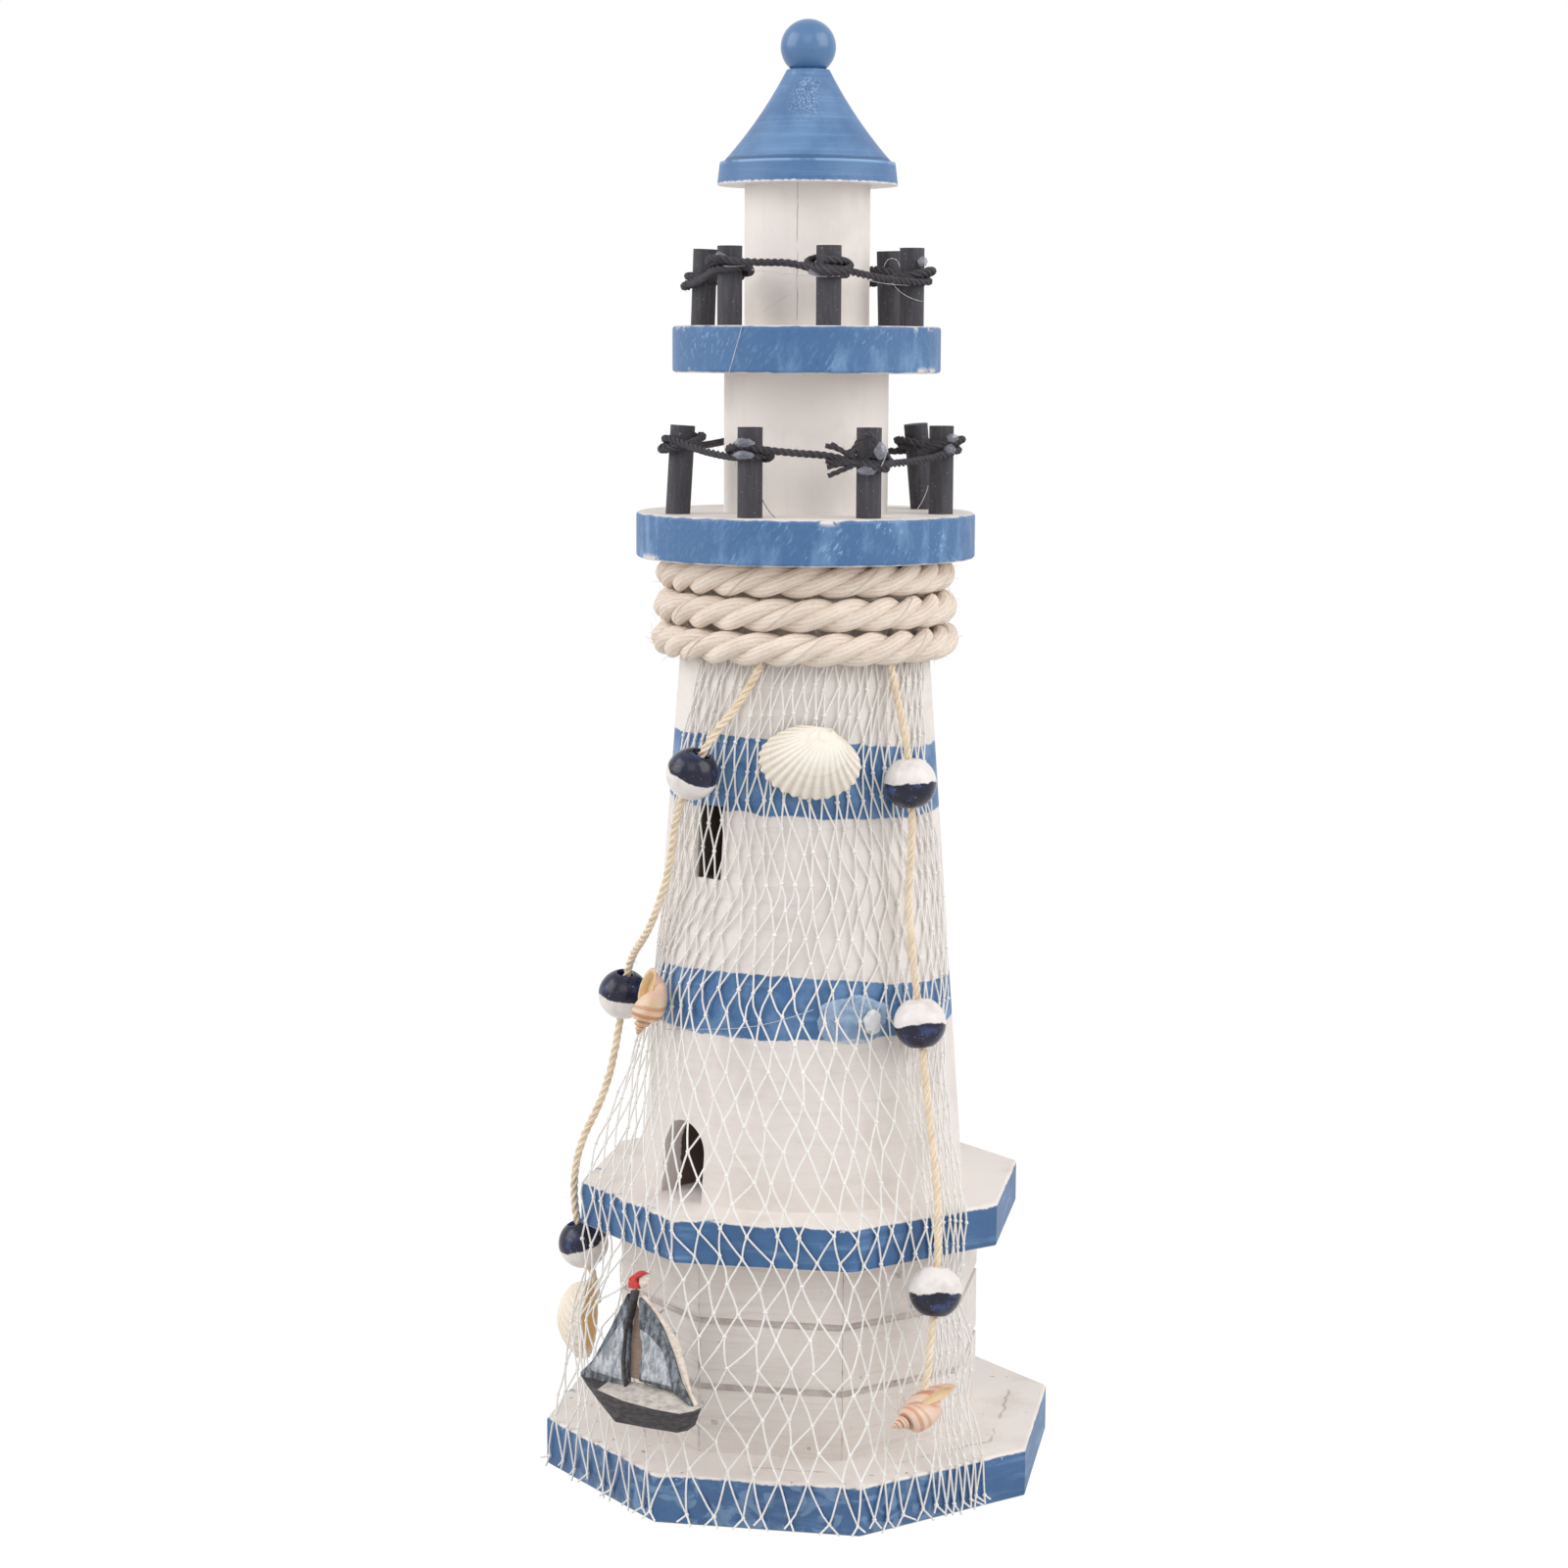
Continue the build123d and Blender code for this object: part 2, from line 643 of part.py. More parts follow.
# One file for each piece
os.makedirs("parts", exist_ok=True)
for name, shape in nodes.items():
    export_step(shape, f"parts/{name}.step")
print("nodes", len(nodes))
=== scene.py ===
import json
import math
import random

import bmesh
import bpy
from mathutils import Matrix, Vector, noise


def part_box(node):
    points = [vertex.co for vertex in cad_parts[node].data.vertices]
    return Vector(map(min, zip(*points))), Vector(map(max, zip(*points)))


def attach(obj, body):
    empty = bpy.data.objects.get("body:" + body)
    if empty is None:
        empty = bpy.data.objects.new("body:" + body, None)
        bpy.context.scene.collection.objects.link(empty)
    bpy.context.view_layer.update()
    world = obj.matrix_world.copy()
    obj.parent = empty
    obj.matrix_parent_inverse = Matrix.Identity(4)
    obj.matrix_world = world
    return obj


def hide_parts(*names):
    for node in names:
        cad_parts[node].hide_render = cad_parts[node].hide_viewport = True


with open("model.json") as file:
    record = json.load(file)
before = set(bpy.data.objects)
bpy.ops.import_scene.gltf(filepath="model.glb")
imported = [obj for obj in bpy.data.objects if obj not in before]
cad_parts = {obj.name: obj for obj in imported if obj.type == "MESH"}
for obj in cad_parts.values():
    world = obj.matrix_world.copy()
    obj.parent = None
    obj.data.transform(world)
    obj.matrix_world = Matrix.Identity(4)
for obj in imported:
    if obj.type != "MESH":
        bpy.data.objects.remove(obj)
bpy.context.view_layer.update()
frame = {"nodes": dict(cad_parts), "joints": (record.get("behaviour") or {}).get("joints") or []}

# Base plate and deck plate: two octagons sawn from pine board, glued under and over the house.
# Their faces are brushed white and their edges blue, with the white spilling over the rims on
# the right, and a line is scored in the base all round the house.


class Value:
    """A socket in a node tree. Arithmetic on it adds Math nodes, and add() puts in any other node."""

    def __init__(self, tree, socket=None):
        self.tree, self.socket = tree, socket

    def add(self, kind, settings=None, sockets=None, output=0):
        node = self.tree.nodes.new(kind)
        for name, setting in (settings or {}).items():
            setattr(node, name, setting)
        self.fill(node, sockets or {})
        return Value(self.tree, node.outputs[output] if node.outputs else None)

    def geo(self, kind, sockets, output=0):
        return self.add(f"GeometryNode{kind}", {}, sockets, output)

    def fill(self, node, sockets):
        for key, value in sockets.items():
            if isinstance(value, Value):
                self.tree.links.new(value.socket, node.inputs[key])
            else:
                node.inputs[key].default_value = value

    def coat(self, colour, roughness, height, depth, strength=0.6, **others):
        """Sets the surface shader of a finish, with a height as its bump, and hands back the material."""
        relief = {"Height": height, "Distance": depth, "Strength": strength}
        bump = self.add("ShaderNodeBump", {}, relief)
        sockets = {"Base Color": colour, "Roughness": roughness, "Normal": bump, **others}
        self.fill(self.tree.nodes["Principled BSDF"], sockets)
        return self.material

    def mark(self, name):
        """A value that the mesh carries for its finish."""
        return self.add("ShaderNodeAttribute", {"attribute_name": name}, {}, "Fac")

    def maths(self, operation, first, second=0.0):
        return self.add("ShaderNodeMath", {"operation": operation}, {0: first, 1: second})

    def __add__(self, other):
        return self.maths("ADD", self, other)

    def __sub__(self, other):
        return self.maths("SUBTRACT", self, other)

    def __rsub__(self, other):
        return self.maths("SUBTRACT", other, self)

    def __mul__(self, other):
        return self.maths("MULTIPLY", self, other)

    def __truediv__(self, other):
        return self.maths("DIVIDE", self, other)

    __radd__ = __add__
    __rmul__ = __mul__

    def size(self):
        return self.maths("ABSOLUTE", self)

    def most(self, other):
        return self.maths("MAXIMUM", self, other)

    def smooth(self, low, high):
        """0 up to low and 1 from high on, with a soft step between; turned round if high is lower."""
        sockets = {"Value": self, "From Min": low, "From Max": high}
        return self.add("ShaderNodeMapRange", {"interpolation_type": "SMOOTHSTEP"}, sockets)

    def mix(self, low, high):
        """One colour where the value is 0 and another where it is 1."""
        return self.add("ShaderNodeMix", {"data_type": "RGBA"}, {0: self, 6: low, 7: high}, 2)

    def noise(self, place, scale, detail=3.0, roughness=0.55):
        sockets = {"Vector": place, "Scale": scale, "Detail": detail, "Roughness": roughness}
        return self.add("ShaderNodeTexNoise", {}, sockets)

    def streaks(self, place, factors, detail=3.0, roughness=0.55):
        """Noise with a scale of its own along each axis."""
        drawn = self.add("ShaderNodeVectorMath", {"operation": "MULTIPLY"}, {0: place, 1: factors})
        return self.noise(drawn, 1.0, detail, roughness)


def new_finish(name):
    """A material's node tree to paint in, and the Object coordinates with their three parts."""
    material = bpy.data.materials.new(name)
    material.use_nodes = True
    paint = Value(material.node_tree)
    paint.material = material
    place = paint.add("ShaderNodeTexCoord", output="Object")
    parts = [paint.add("ShaderNodeSeparateXYZ", {}, {0: place}, axis) for axis in "XYZ"]
    return paint, place, parts


def srgb(red, green, blue):
    """A colour as seen on a screen, from 0 to 255, as the shader's linear one."""
    return tuple(((v / 255 + 0.055) / 1.055) ** 2.4 for v in (red, green, blue)) + (1.0,)


def dress(material, *names):
    """Gives CAD nodes a finish of the scene's own."""
    for name in names:
        for slot in frame["nodes"][name].material_slots:
            slot.material = material


def octagon_reach(paint, place):
    """Distance from the axis, measured square to an octagon's nearest flat."""
    reach = None
    for turn in (0, 45, 90, 135):
        flat = (math.cos(math.radians(turn)), math.sin(math.radians(turn)), 0)
        dot = {"operation": "DOT_PRODUCT"}
        across = paint.add("ShaderNodeVectorMath", dot, {0: place, 1: flat}, "Value")
        reach = across.size() if reach is None else reach.most(across.size())
    return reach


white_coat, dusty_and_shaded_white = srgb(236, 229, 224), srgb(212, 203, 195)
blue_coat, faded_blue, deep_and_shade_blue = srgb(65, 106, 152), srgb(106, 142, 183), srgb(47, 80, 122)
rubbed_and_highlight_blue, glazed_blue = srgb(146, 190, 224), srgb(132, 162, 193)
crack_and_shade_brown = srgb(96, 82, 72)


def blue_cover(streaks, grain):
    """Blue paint, thin in streaks and dark where it lies thick."""
    thin = streaks.smooth(0.5, 0.72)
    return (grain.smooth(0.56, 0.7) * 0.35).mix(thin.mix(blue_coat, faded_blue), deep_and_shade_blue)


def white_cover(clouds, grain):
    """White paint, dusty in soft patches and specked where the grain shows."""
    return (clouds.smooth(0.45, 0.75) * 0.55 + grain.smooth(0.62, 0.74) * 0.25).mix(white_coat, dusty_and_shaded_white)


def plate_paint(name, low, high, apothem, scored=None):
    paint, place, (x, y, z) = new_finish(name)
    reach = octagon_reach(paint, place)
    clouds = paint.noise(place, 70.0)
    grain = paint.noise(place, 700.0, 4.0, 0.65)
    streaks = paint.streaks(place, (60.0, 60.0, 420.0), 4.0)
    torn = paint.noise(place, 190.0, 4.0, 0.6)
    ragged = (torn - 0.5) * 0.0022
    spill = x.smooth(0.02, 0.045) * (torn - 0.42) * 0.004
    side = (reach - apothem + 0.0025).smooth(0.0, 0.0006)
    edge = (high - z + ragged - spill).smooth(0.0002, 0.0006) * (z - low).smooth(0.0001, 0.0004) * side
    rim = (high - z).smooth(0.002, 0.0004)
    chips = (grain - 0.08 * clouds).smooth(0.60, 0.66) * rim
    blue = (clouds.smooth(0.3, 0.7) * 0.6).mix(blue_cover(streaks, grain), deep_and_shade_blue)
    colour = edge.mix(white_cover(clouds, grain), blue)
    colour = (chips * edge).mix(colour, white_coat)
    height = streaks * 0.5 + grain * 0.5 + clouds * 0.8
    gloss = edge * 0.18
    if scored:
        line = (reach - scored + (torn - 0.5) * 0.003).size().smooth(0.0005, 0.0001)
        line = line * paint.noise(place, 70.0).smooth(0.48, 0.62) * (1 - edge)
        gouges = paint.noise(place, 330.0, 2.0).smooth(0.70, 0.74) * (1 - edge)
        colour = (line * 0.3 + gouges * 0.5).mix(colour, crack_and_shade_brown)
        height = height - line * 2.0 - gouges * 2.0
        smear = {"Vector": place, "Scale": 130.0, "Detail": 2.0, "Roughness": 0.4, "Distortion": 2.5}
        swirl = paint.add("ShaderNodeTexNoise", {}, smear)
        glaze = edge * y.smooth(-0.028, -0.036) * x.smooth(0.048, 0.036)
        colour = (glaze * swirl.smooth(0.5, 0.62) * 0.5).mix(colour, glazed_blue)
        height = height + glaze * swirl * 3.0
        gloss = gloss + glaze * 0.25
    return paint.coat(colour, 0.62 - gloss + grain * 0.1, height, 0.0003, 0.5)


score_reach = 0.0474
base_foot, base_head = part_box("base_plate")
deck_foot, deck_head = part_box("deck_plate")
base_high, deck_low, deck_high = base_head.z, deck_foot.z, deck_head.z
dress(plate_paint("base_paint", base_foot.z, base_high, base_head.x, score_reach), "base_plate")
dress(plate_paint("deck_paint", deck_low, deck_high, deck_head.x), "deck_plate")

# House walls: eight mitred panels with two board lines sawn across each, glued in a ring.
# Brushed white lengthwise and painted a little darker all over as shade under the deck, with painted shade
# in the board lines and hair cracks at the mitres.
house_apothem = -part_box("house_panel_1")[0].y
panel_count = 8
mitre_width = 0.00035


def house_paint():
    paint, place, (x, y, z) = new_finish("house_paint")
    clouds = paint.noise(place, 55.0)
    grain = paint.noise(place, 800.0, 4.0, 0.65)
    strokes = paint.streaks(place, (50.0, 50.0, 900.0), 5.0)
    sunk = (house_apothem - octagon_reach(paint, place)).smooth(0.0002, 0.0009)
    turn = paint.maths("ARCTAN2", y, x) * (panel_count / math.tau)
    corner = paint.maths("FRACT", turn) - 0.5
    near = corner.size() * (math.tau / panel_count * house_apothem)
    crack = near.smooth(mitre_width, mitre_width / 3) * paint.noise(place, 150.0).smooth(0.5, 0.64)
    scuffs = paint.noise(place, 240.0, 2.0).smooth(0.70, 0.75)
    # Painted shade: the white leans at least three tenths of the way to the dusty white everywhere, as
    # shade under the deck's overhang, on top of the dust in patches.
    colour = (strokes.smooth(0.45, 0.75) * 0.5 + 0.3).mix(white_cover(clouds, grain), dusty_and_shaded_white)
    colour = (scuffs * 0.35).mix(colour, crack_and_shade_brown)
    # Painted shade: the board lines are darkened a little all along and more in patches; the cracks at the
    # mitres are real.
    patchy_groove_shade = sunk * paint.noise(place, 260.0).smooth(0.4, 0.6)
    colour = (sunk * 0.04 + patchy_groove_shade * 0.2 + crack * 0.3).mix(colour, crack_and_shade_brown)
    height = strokes + grain * 0.6 - crack * 3.0 - scuffs * 0.5
    return paint.coat(colour, 0.6 + grain * 0.1, height, 0.00025)


dress(house_paint(), *(f"house_panel_{n + 1}" for n in range(panel_count)))

# Tower: one turned cone with a blind door and a blind window bored into it, doweled on the deck.
# Painted white with two blue bands whose edges were cut in by hand; the openings are dark inside.
tower_foot, tower_head = 0.0374, 0.0269
tower_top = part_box("tower")[1].z
tower_taper = (tower_head - tower_foot) / (tower_top - deck_high)
upper_band = ((0.1717, -0.043, -2.0), (0.15495, -0.048, 0.0))
lower_band = ((0.11955, -0.036, -2.8), (0.1053, 0.0, 0.0))
soot = srgb(90, 77, 68)
reveal_depth = 0.0042
window_foot = 0.12


def tower_radius(z):
    """Radius of the tower's wall at a height."""
    return tower_foot + tower_taper * (z - deck_high)


def tower_paint():
    paint, place, (x, y, z) = new_finish("tower_paint")
    clouds = paint.noise(place, 60.0)
    grain = paint.noise(place, 800.0, 4.0, 0.65)
    strokes = paint.streaks(place, (80.0, 80.0, 600.0), 5.0)
    wobble = (paint.noise(place, 160.0) - 0.5) * 0.0018 + (grain - 0.5) * 0.0006
    band, blur = None, 0.0002
    for edges in (upper_band, lower_band):
        top, bottom = (level + x * slope + x * x * bow for level, slope, bow in edges)
        stripe = (z + wobble - bottom).smooth(-blur, blur) * (top - z - wobble).smooth(-blur, blur)
        band = stripe if band is None else band.most(stripe)
    axis_distance = paint.maths("SQRT", x * x + y * y)
    depth = tower_foot + tower_taper * (z - deck_high) - axis_distance
    reveal = z.smooth(window_foot + 0.001, window_foot) * reveal_depth + 0.0006
    black = (depth - reveal + (clouds - 0.5) * 0.004 + (grain - 0.5) * 0.002).smooth(-0.0002, 0.0004)
    sooted = (depth - 0.0002).smooth(0.0, 0.001) * (z - deck_high).smooth(-0.0001, 0.0006)
    # Painted shade: the white leans a little to the dusty white everywhere, as the net's shade, on top of
    # the dust in patches.
    colour = (strokes.smooth(0.5, 0.72) * 0.3 + 0.15).mix(white_cover(clouds, grain), dusty_and_shaded_white)
    streaks = paint.streaks(place, (45.0, 45.0, 500.0), 4.0)
    dabbed = paint.noise(place, 140.0, 3.0, 0.6)
    blue = (dabbed.smooth(0.42, 0.62) * 0.75).mix(blue_cover(streaks, grain), faded_blue)
    blue = (dabbed.smooth(0.4, 0.3) * 0.35).mix(blue, deep_and_shade_blue)
    colour = band.mix(colour, blue)
    colour = (black * sooted).mix(colour, soot)
    height = strokes + grain * 0.6 + band * 0.8
    return paint.coat(colour, 0.6 - band * 0.15 + grain * 0.1, height, 0.00025)


dress(tower_paint(), "tower")

# Galleries: two turned discs, doweled over the tower and over the lower drum.
# White on their faces and blue round the edge, which is scratched and chipped from handling.


def gallery_paint(name, low, high, radius, wear):
    paint, place, (x, y, z) = new_finish(name)
    clouds = paint.noise(place, 80.0)
    grain = paint.noise(place, 900.0, 4.0, 0.65)
    slant = paint.add("ShaderNodeMapping", {}, {"Vector": place, "Rotation": (0.0, -0.6, 0.0)})
    scratches = paint.streaks(slant, (1400.0, 1400.0, 330.0), 4.0, 0.6)
    brushed = paint.streaks(place, (160.0, 160.0, 60.0), 4.0)
    worn = paint.noise(place, 130.0, 2.0).smooth(0.52, 0.66)
    ragged = (paint.noise(place, 240.0, 3.0) - 0.5) * 0.0008
    side = (paint.maths("SQRT", x * x + y * y) - radius + 0.0011).smooth(0.0, 0.0004)
    edge = (high - z + ragged).smooth(0.0, 0.0004) * (z - low + ragged).smooth(0.0, 0.0004) * side
    rim = ((high - z).smooth(0.0018, 0.0002)).most((z - low).smooth(0.0018, 0.0002))
    knocks = paint.noise(place, 65.0, 2.0).smooth(0.58, 0.63)
    chips = rim * side * knocks * (grain * 0.5 + brushed * 0.5).smooth(0.46, 0.54)
    colour = edge.mix(white_cover(clouds, grain), blue_cover(brushed, grain))
    colour = (edge * (worn * wear + 0.12) * scratches.smooth(0.52, 0.68)).mix(colour, rubbed_and_highlight_blue)
    colour = (chips * edge).mix(colour, white_coat)
    height = scratches * 0.6 + brushed * 0.5 + grain * 0.6 - chips * 1.5
    return paint.coat(colour, 0.55 - edge * 0.14 + grain * 0.12, height, 0.00022)


for level, wear in (("lower", 0.7), ("upper", 0.35)):
    low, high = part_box(f"{level}_gallery")
    dress(gallery_paint(f"{level}_gallery_paint", low.z, high.z, high.x, wear), f"{level}_gallery")

# Drums: the plain turned cylinders between the galleries and under the roof, doweled to both.
# White, with the grain standing upright and a drying check opened along it.


def drum_paint(name, low, high, check_azimuth, check_share):
    paint, place, (x, y, z) = new_finish(name)
    clouds = paint.noise(place, 60.0)
    grain = paint.noise(place, 800.0, 4.0, 0.65)
    fibres = paint.streaks(place, (500.0, 500.0, 40.0), 4.0)
    waver = (paint.streaks(place, (1.0, 1.0, 140.0)) - 0.5) * 0.07
    offset = paint.maths("ARCTAN2", x, y * -1.0) - math.radians(check_azimuth) + waver
    open_up_to = (z - low - check_share * (high - low)).smooth(0.002, -0.001)
    check = offset.size().smooth(0.009, 0.002) * paint.noise(place, 130.0).smooth(0.36, 0.52) * open_up_to
    colour = (fibres.smooth(0.5, 0.75) * 0.12).mix(white_cover(clouds, grain), dusty_and_shaded_white)
    colour = (check * 0.5).mix(colour, crack_and_shade_brown)
    return paint.coat(colour, 0.6 + grain * 0.1, fibres * 0.4 + grain * 0.6 - check * 2.0, 0.00025)


for drum, check_azimuth, check_share in (("lower_drum", 200.0, 0.5), ("lantern_drum", 1.0, 1.1)):
    low, high = (corner.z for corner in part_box(drum))
    dress(drum_paint(f"{drum}_paint", low, high, check_azimuth, check_share), drum)

# Roof cap and finial ball: a turned cone with a rim, and a turned ball pinned on its neck.
# Satin blue over fine tool rings, rubbed lighter in places, with painted sheen and a painted rim highlight;
# the cap's underside is left white.
camera_azimuth = 10.3
rim_height, rim_reach, neck_height = 0.005, 0.0192, 0.0248
sheen_pale = srgb(184, 200, 222)


def turned_blue(name, low, ringed):
    """The parts that the cap's and the ball's paint share: cloudy blue over tool rings, lighter where
    rubbed and lighter as painted sheen.
    """
    paint, place, (x, y, z) = new_finish(name)
    clouds = paint.noise(place, 90.0)
    grain = paint.noise(place, 900.0, 4.0, 0.65)
    rings = (paint.streaks(place, (30.0, 30.0, 1300.0), 4.0) - 0.5) * ringed + 0.5
    painted = (z - low + (grain - 0.5) * 0.0012).smooth(0.0, 0.0005)
    rubbed_and_sheen = clouds.smooth(0.3, 0.7) * (rings.smooth(0.35, 0.6) * 0.45 + 0.55)
    return paint, place, (x, y, z), (clouds, grain, rings, painted, rubbed_and_sheen)


def cap_paint(low):
    paint, place, (x, y, z), layers = turned_blue("roof_paint", low, 0.55)
    clouds, grain, rings, painted, rubbed_and_sheen = layers
    rise = z - low - rim_height
    outer = (paint.maths("SQRT", x * x + y * y) - rim_reach).smooth(-0.0001, 0.0001)
    # Wear and painted sheen: in the clouds the cone goes almost all the way to the faded blue, for its lit,
    # shiny slope as well as rubbing.
    colour = (rubbed_and_sheen * (0.95 - outer * 0.45)).mix(blue_cover(rings, grain), faded_blue)
    # Painted highlight and shade: a light line just under the rim's top edge, where its round would catch
    # the light, and a dark line on the cone just above it in the groove, which is also a bump.
    groove = (rise - 0.0003).size().smooth(0.0007, 0.0002) * (1 - outer)
    painted_rim_highlight = (rise + 0.0003).size().smooth(0.0004, 0.0001) * outer * clouds.smooth(0.35, 0.5)
    colour = (groove * 0.75).mix((painted_rim_highlight * 0.6).mix(colour, rubbed_and_highlight_blue), deep_and_shade_blue)
    # Painted sheen: pale flecks on a crackled patch of the cone that faces the camera, and pale highlight
    # specks round the neck; the crackle's dark lines and bump are the paint's own.
    turn = math.radians(camera_azimuth)
    across = x * math.cos(turn) + y * math.sin(turn)
    facing = (x * math.sin(turn) - y * math.cos(turn)).smooth(0.0, 0.001)
    down = (low + neck_height - z) / (neck_height - rim_height)
    crackle_sheen_patch = (across.size() - down * 0.004 + (clouds - 0.5) * 0.009).smooth(0.0026, -0.0006)
    crackle_sheen_patch = crackle_sheen_patch * facing * down.smooth(0.02, 0.1) * down.smooth(0.68, 0.3)
    neck_highlight_ring = (z - low - neck_height).size().smooth(0.0012, 0.0003) * clouds.smooth(0.5, 0.6)
    crackle = paint.streaks(place, (2600.0, 2600.0, 1300.0), 3.0, 0.6)
    painted_sheen_flecks = crackle_sheen_patch * crackle.smooth(0.46, 0.62) * 0.5 + neck_highlight_ring * crackle.smooth(0.5, 0.6) * 0.6
    colour = (crackle_sheen_patch * crackle.smooth(0.44, 0.36) * 0.35).mix(painted_sheen_flecks.mix(colour, sheen_pale), deep_and_shade_blue)
    height = rings + grain * 0.3 + crackle * crackle_sheen_patch - groove * 2.0
    return paint.coat(painted.mix(white_coat, colour), 0.42 + rubbed_and_sheen * 0.12, height, 0.0003)


def ball_paint(low):
    paint, place, parts, layers = turned_blue("finial_paint", low, 0.1)
    clouds, grain, rings, painted, rubbed_and_sheen = layers
    colour = (rubbed_and_sheen * 0.45).mix(blue_cover(rings, grain), faded_blue)
    return paint.coat(colour, 0.24, clouds * 0.4 + grain * 0.25, 0.0002, 0.5)


dress(cap_paint(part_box("roof_cap")[0].z), "roof_cap")
dress(ball_paint(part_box("finial_ball")[0].z), "finial_ball")

# Glue dowels and finial pin: bare turned birch, cut from rod to length.
# They are hidden in the stacked pieces, each glued at both ends in a blind bore.


def dowel_wood():
    paint, place, parts = new_finish("dowel_wood")
    fibres = paint.streaks(place, (900.0, 900.0, 60.0), 4.0)
    colour = fibres.smooth(0.35, 0.7).mix(srgb(214, 184, 142), srgb(186, 150, 106))
    return paint.coat(colour, 0.7, fibres, 0.0001, 0.5)


dress(dowel_wood(), "deck_dowel", "lower_dowel", "upper_dowel", "roof_dowel", "finial_pin")

# Railing posts: short dowels glued in blind holes round each gallery, six to a gallery.
# Matt charcoal stain, drawn along the grain and specked where it missed.
post_count = 6


def post_paint():
    paint, place, parts = new_finish("post_paint")
    grain = paint.noise(place, 1500.0, 4.0, 0.7)
    fibres = paint.streaks(place, (1200.0, 1200.0, 120.0), 4.0)
    colour = fibres.smooth(0.4, 0.75).mix(srgb(54, 52, 58), srgb(72, 70, 76))
    colour = (grain.smooth(0.63, 0.68) * 0.5).mix(colour, srgb(156, 154, 156))
    return paint.coat(colour, 0.62 + grain * 0.15, fibres + grain * 0.5, 0.0002, 0.7)


dress(post_paint(), *(f"{level}_post_{n + 1}" for level in ("lower", "upper") for n in range(post_count)))

# Rope: three strands of soft cotton laid left-handed, wound three times under the lower gallery.
# Each row lies level round the front and drops to the next at the back, where both ends are glued.
rope_thickness, rope_row_drop, rope_wall_gap = 0.0069, 0.0075, 0.0001
rope_climb, rope_end, rope_turns = 110.0, 108.0, 3
rope_point_step = 18.0
rope_lay, rope_press = -0.025, 0.0003
hair_rise, hair_curl, hair_thickness = 0.3, 0.35, 0.018
any_turn = {0: (0.0, 0.0, 0.0), 1: (6.28, 6.28, 6.28)}


def outward(azimuth):
    """Level unit vector away from the axis; an azimuth turns from the front towards the right."""
    return Vector((math.sin(math.radians(azimuth)), -math.cos(math.radians(azimuth)), 0))


def sideways(azimuth):
    return Vector((math.cos(math.radians(azimuth)), math.sin(math.radians(azimuth)), 0))


def at(azimuth, radius, z):
    return outward(azimuth) * radius + Vector((0, 0, z))


def placed(name, data):
    """A new object of its own in the scene."""
    piece = bpy.data.objects.new(name, data)
    bpy.context.scene.collection.objects.link(piece)
    return piece


def route(name, *lines, resolution=8):
    """Smooth NURBS paths along given points."""
    curve = bpy.data.curves.new(name, "CURVE")
    curve.dimensions = "3D"
    for points in lines:
        spline = curve.splines.new("NURBS")
        spline.points.add(len(points) - 1)
        for point, target in zip(spline.points, points):
            point.co = (*target, 1.0)
        spline.order_u = 3
        spline.use_endpoint_u = True
        spline.resolution_u = resolution
    return placed(name, curve)


def new_tree(name, inputs):
    """A geometry node tree to add nodes to, and its named inputs."""
    work = Value(bpy.data.node_groups.new(name, "GeometryNodeTree"))
    for label, kind in inputs.items():
        work.tree.interface.new_socket(label, in_out="INPUT", socket_type=f"NodeSocket{kind}")
    work.tree.interface.new_socket("Geometry", in_out="OUTPUT", socket_type="NodeSocketGeometry")
    return work, {label: work.add("NodeGroupInput", output=label) for label in inputs}


def end_tree(work, parts, finish):
    """Joins a tree's parts into one plain, smooth mesh in its finish."""
    whole = work.add("GeometryNodeJoinGeometry")
    for part in parts:
        work.tree.links.new(part.socket, whole.socket.node.inputs[0])
    for step in ("RealizeInstances", "SetShadeSmooth"):
        whole = work.geo(step, {"Geometry": whole})
    whole = work.geo("SetMaterial", {"Geometry": whole, "Material": finish})
    work.add("NodeGroupOutput", {}, {"Geometry": whole})
    return work.tree


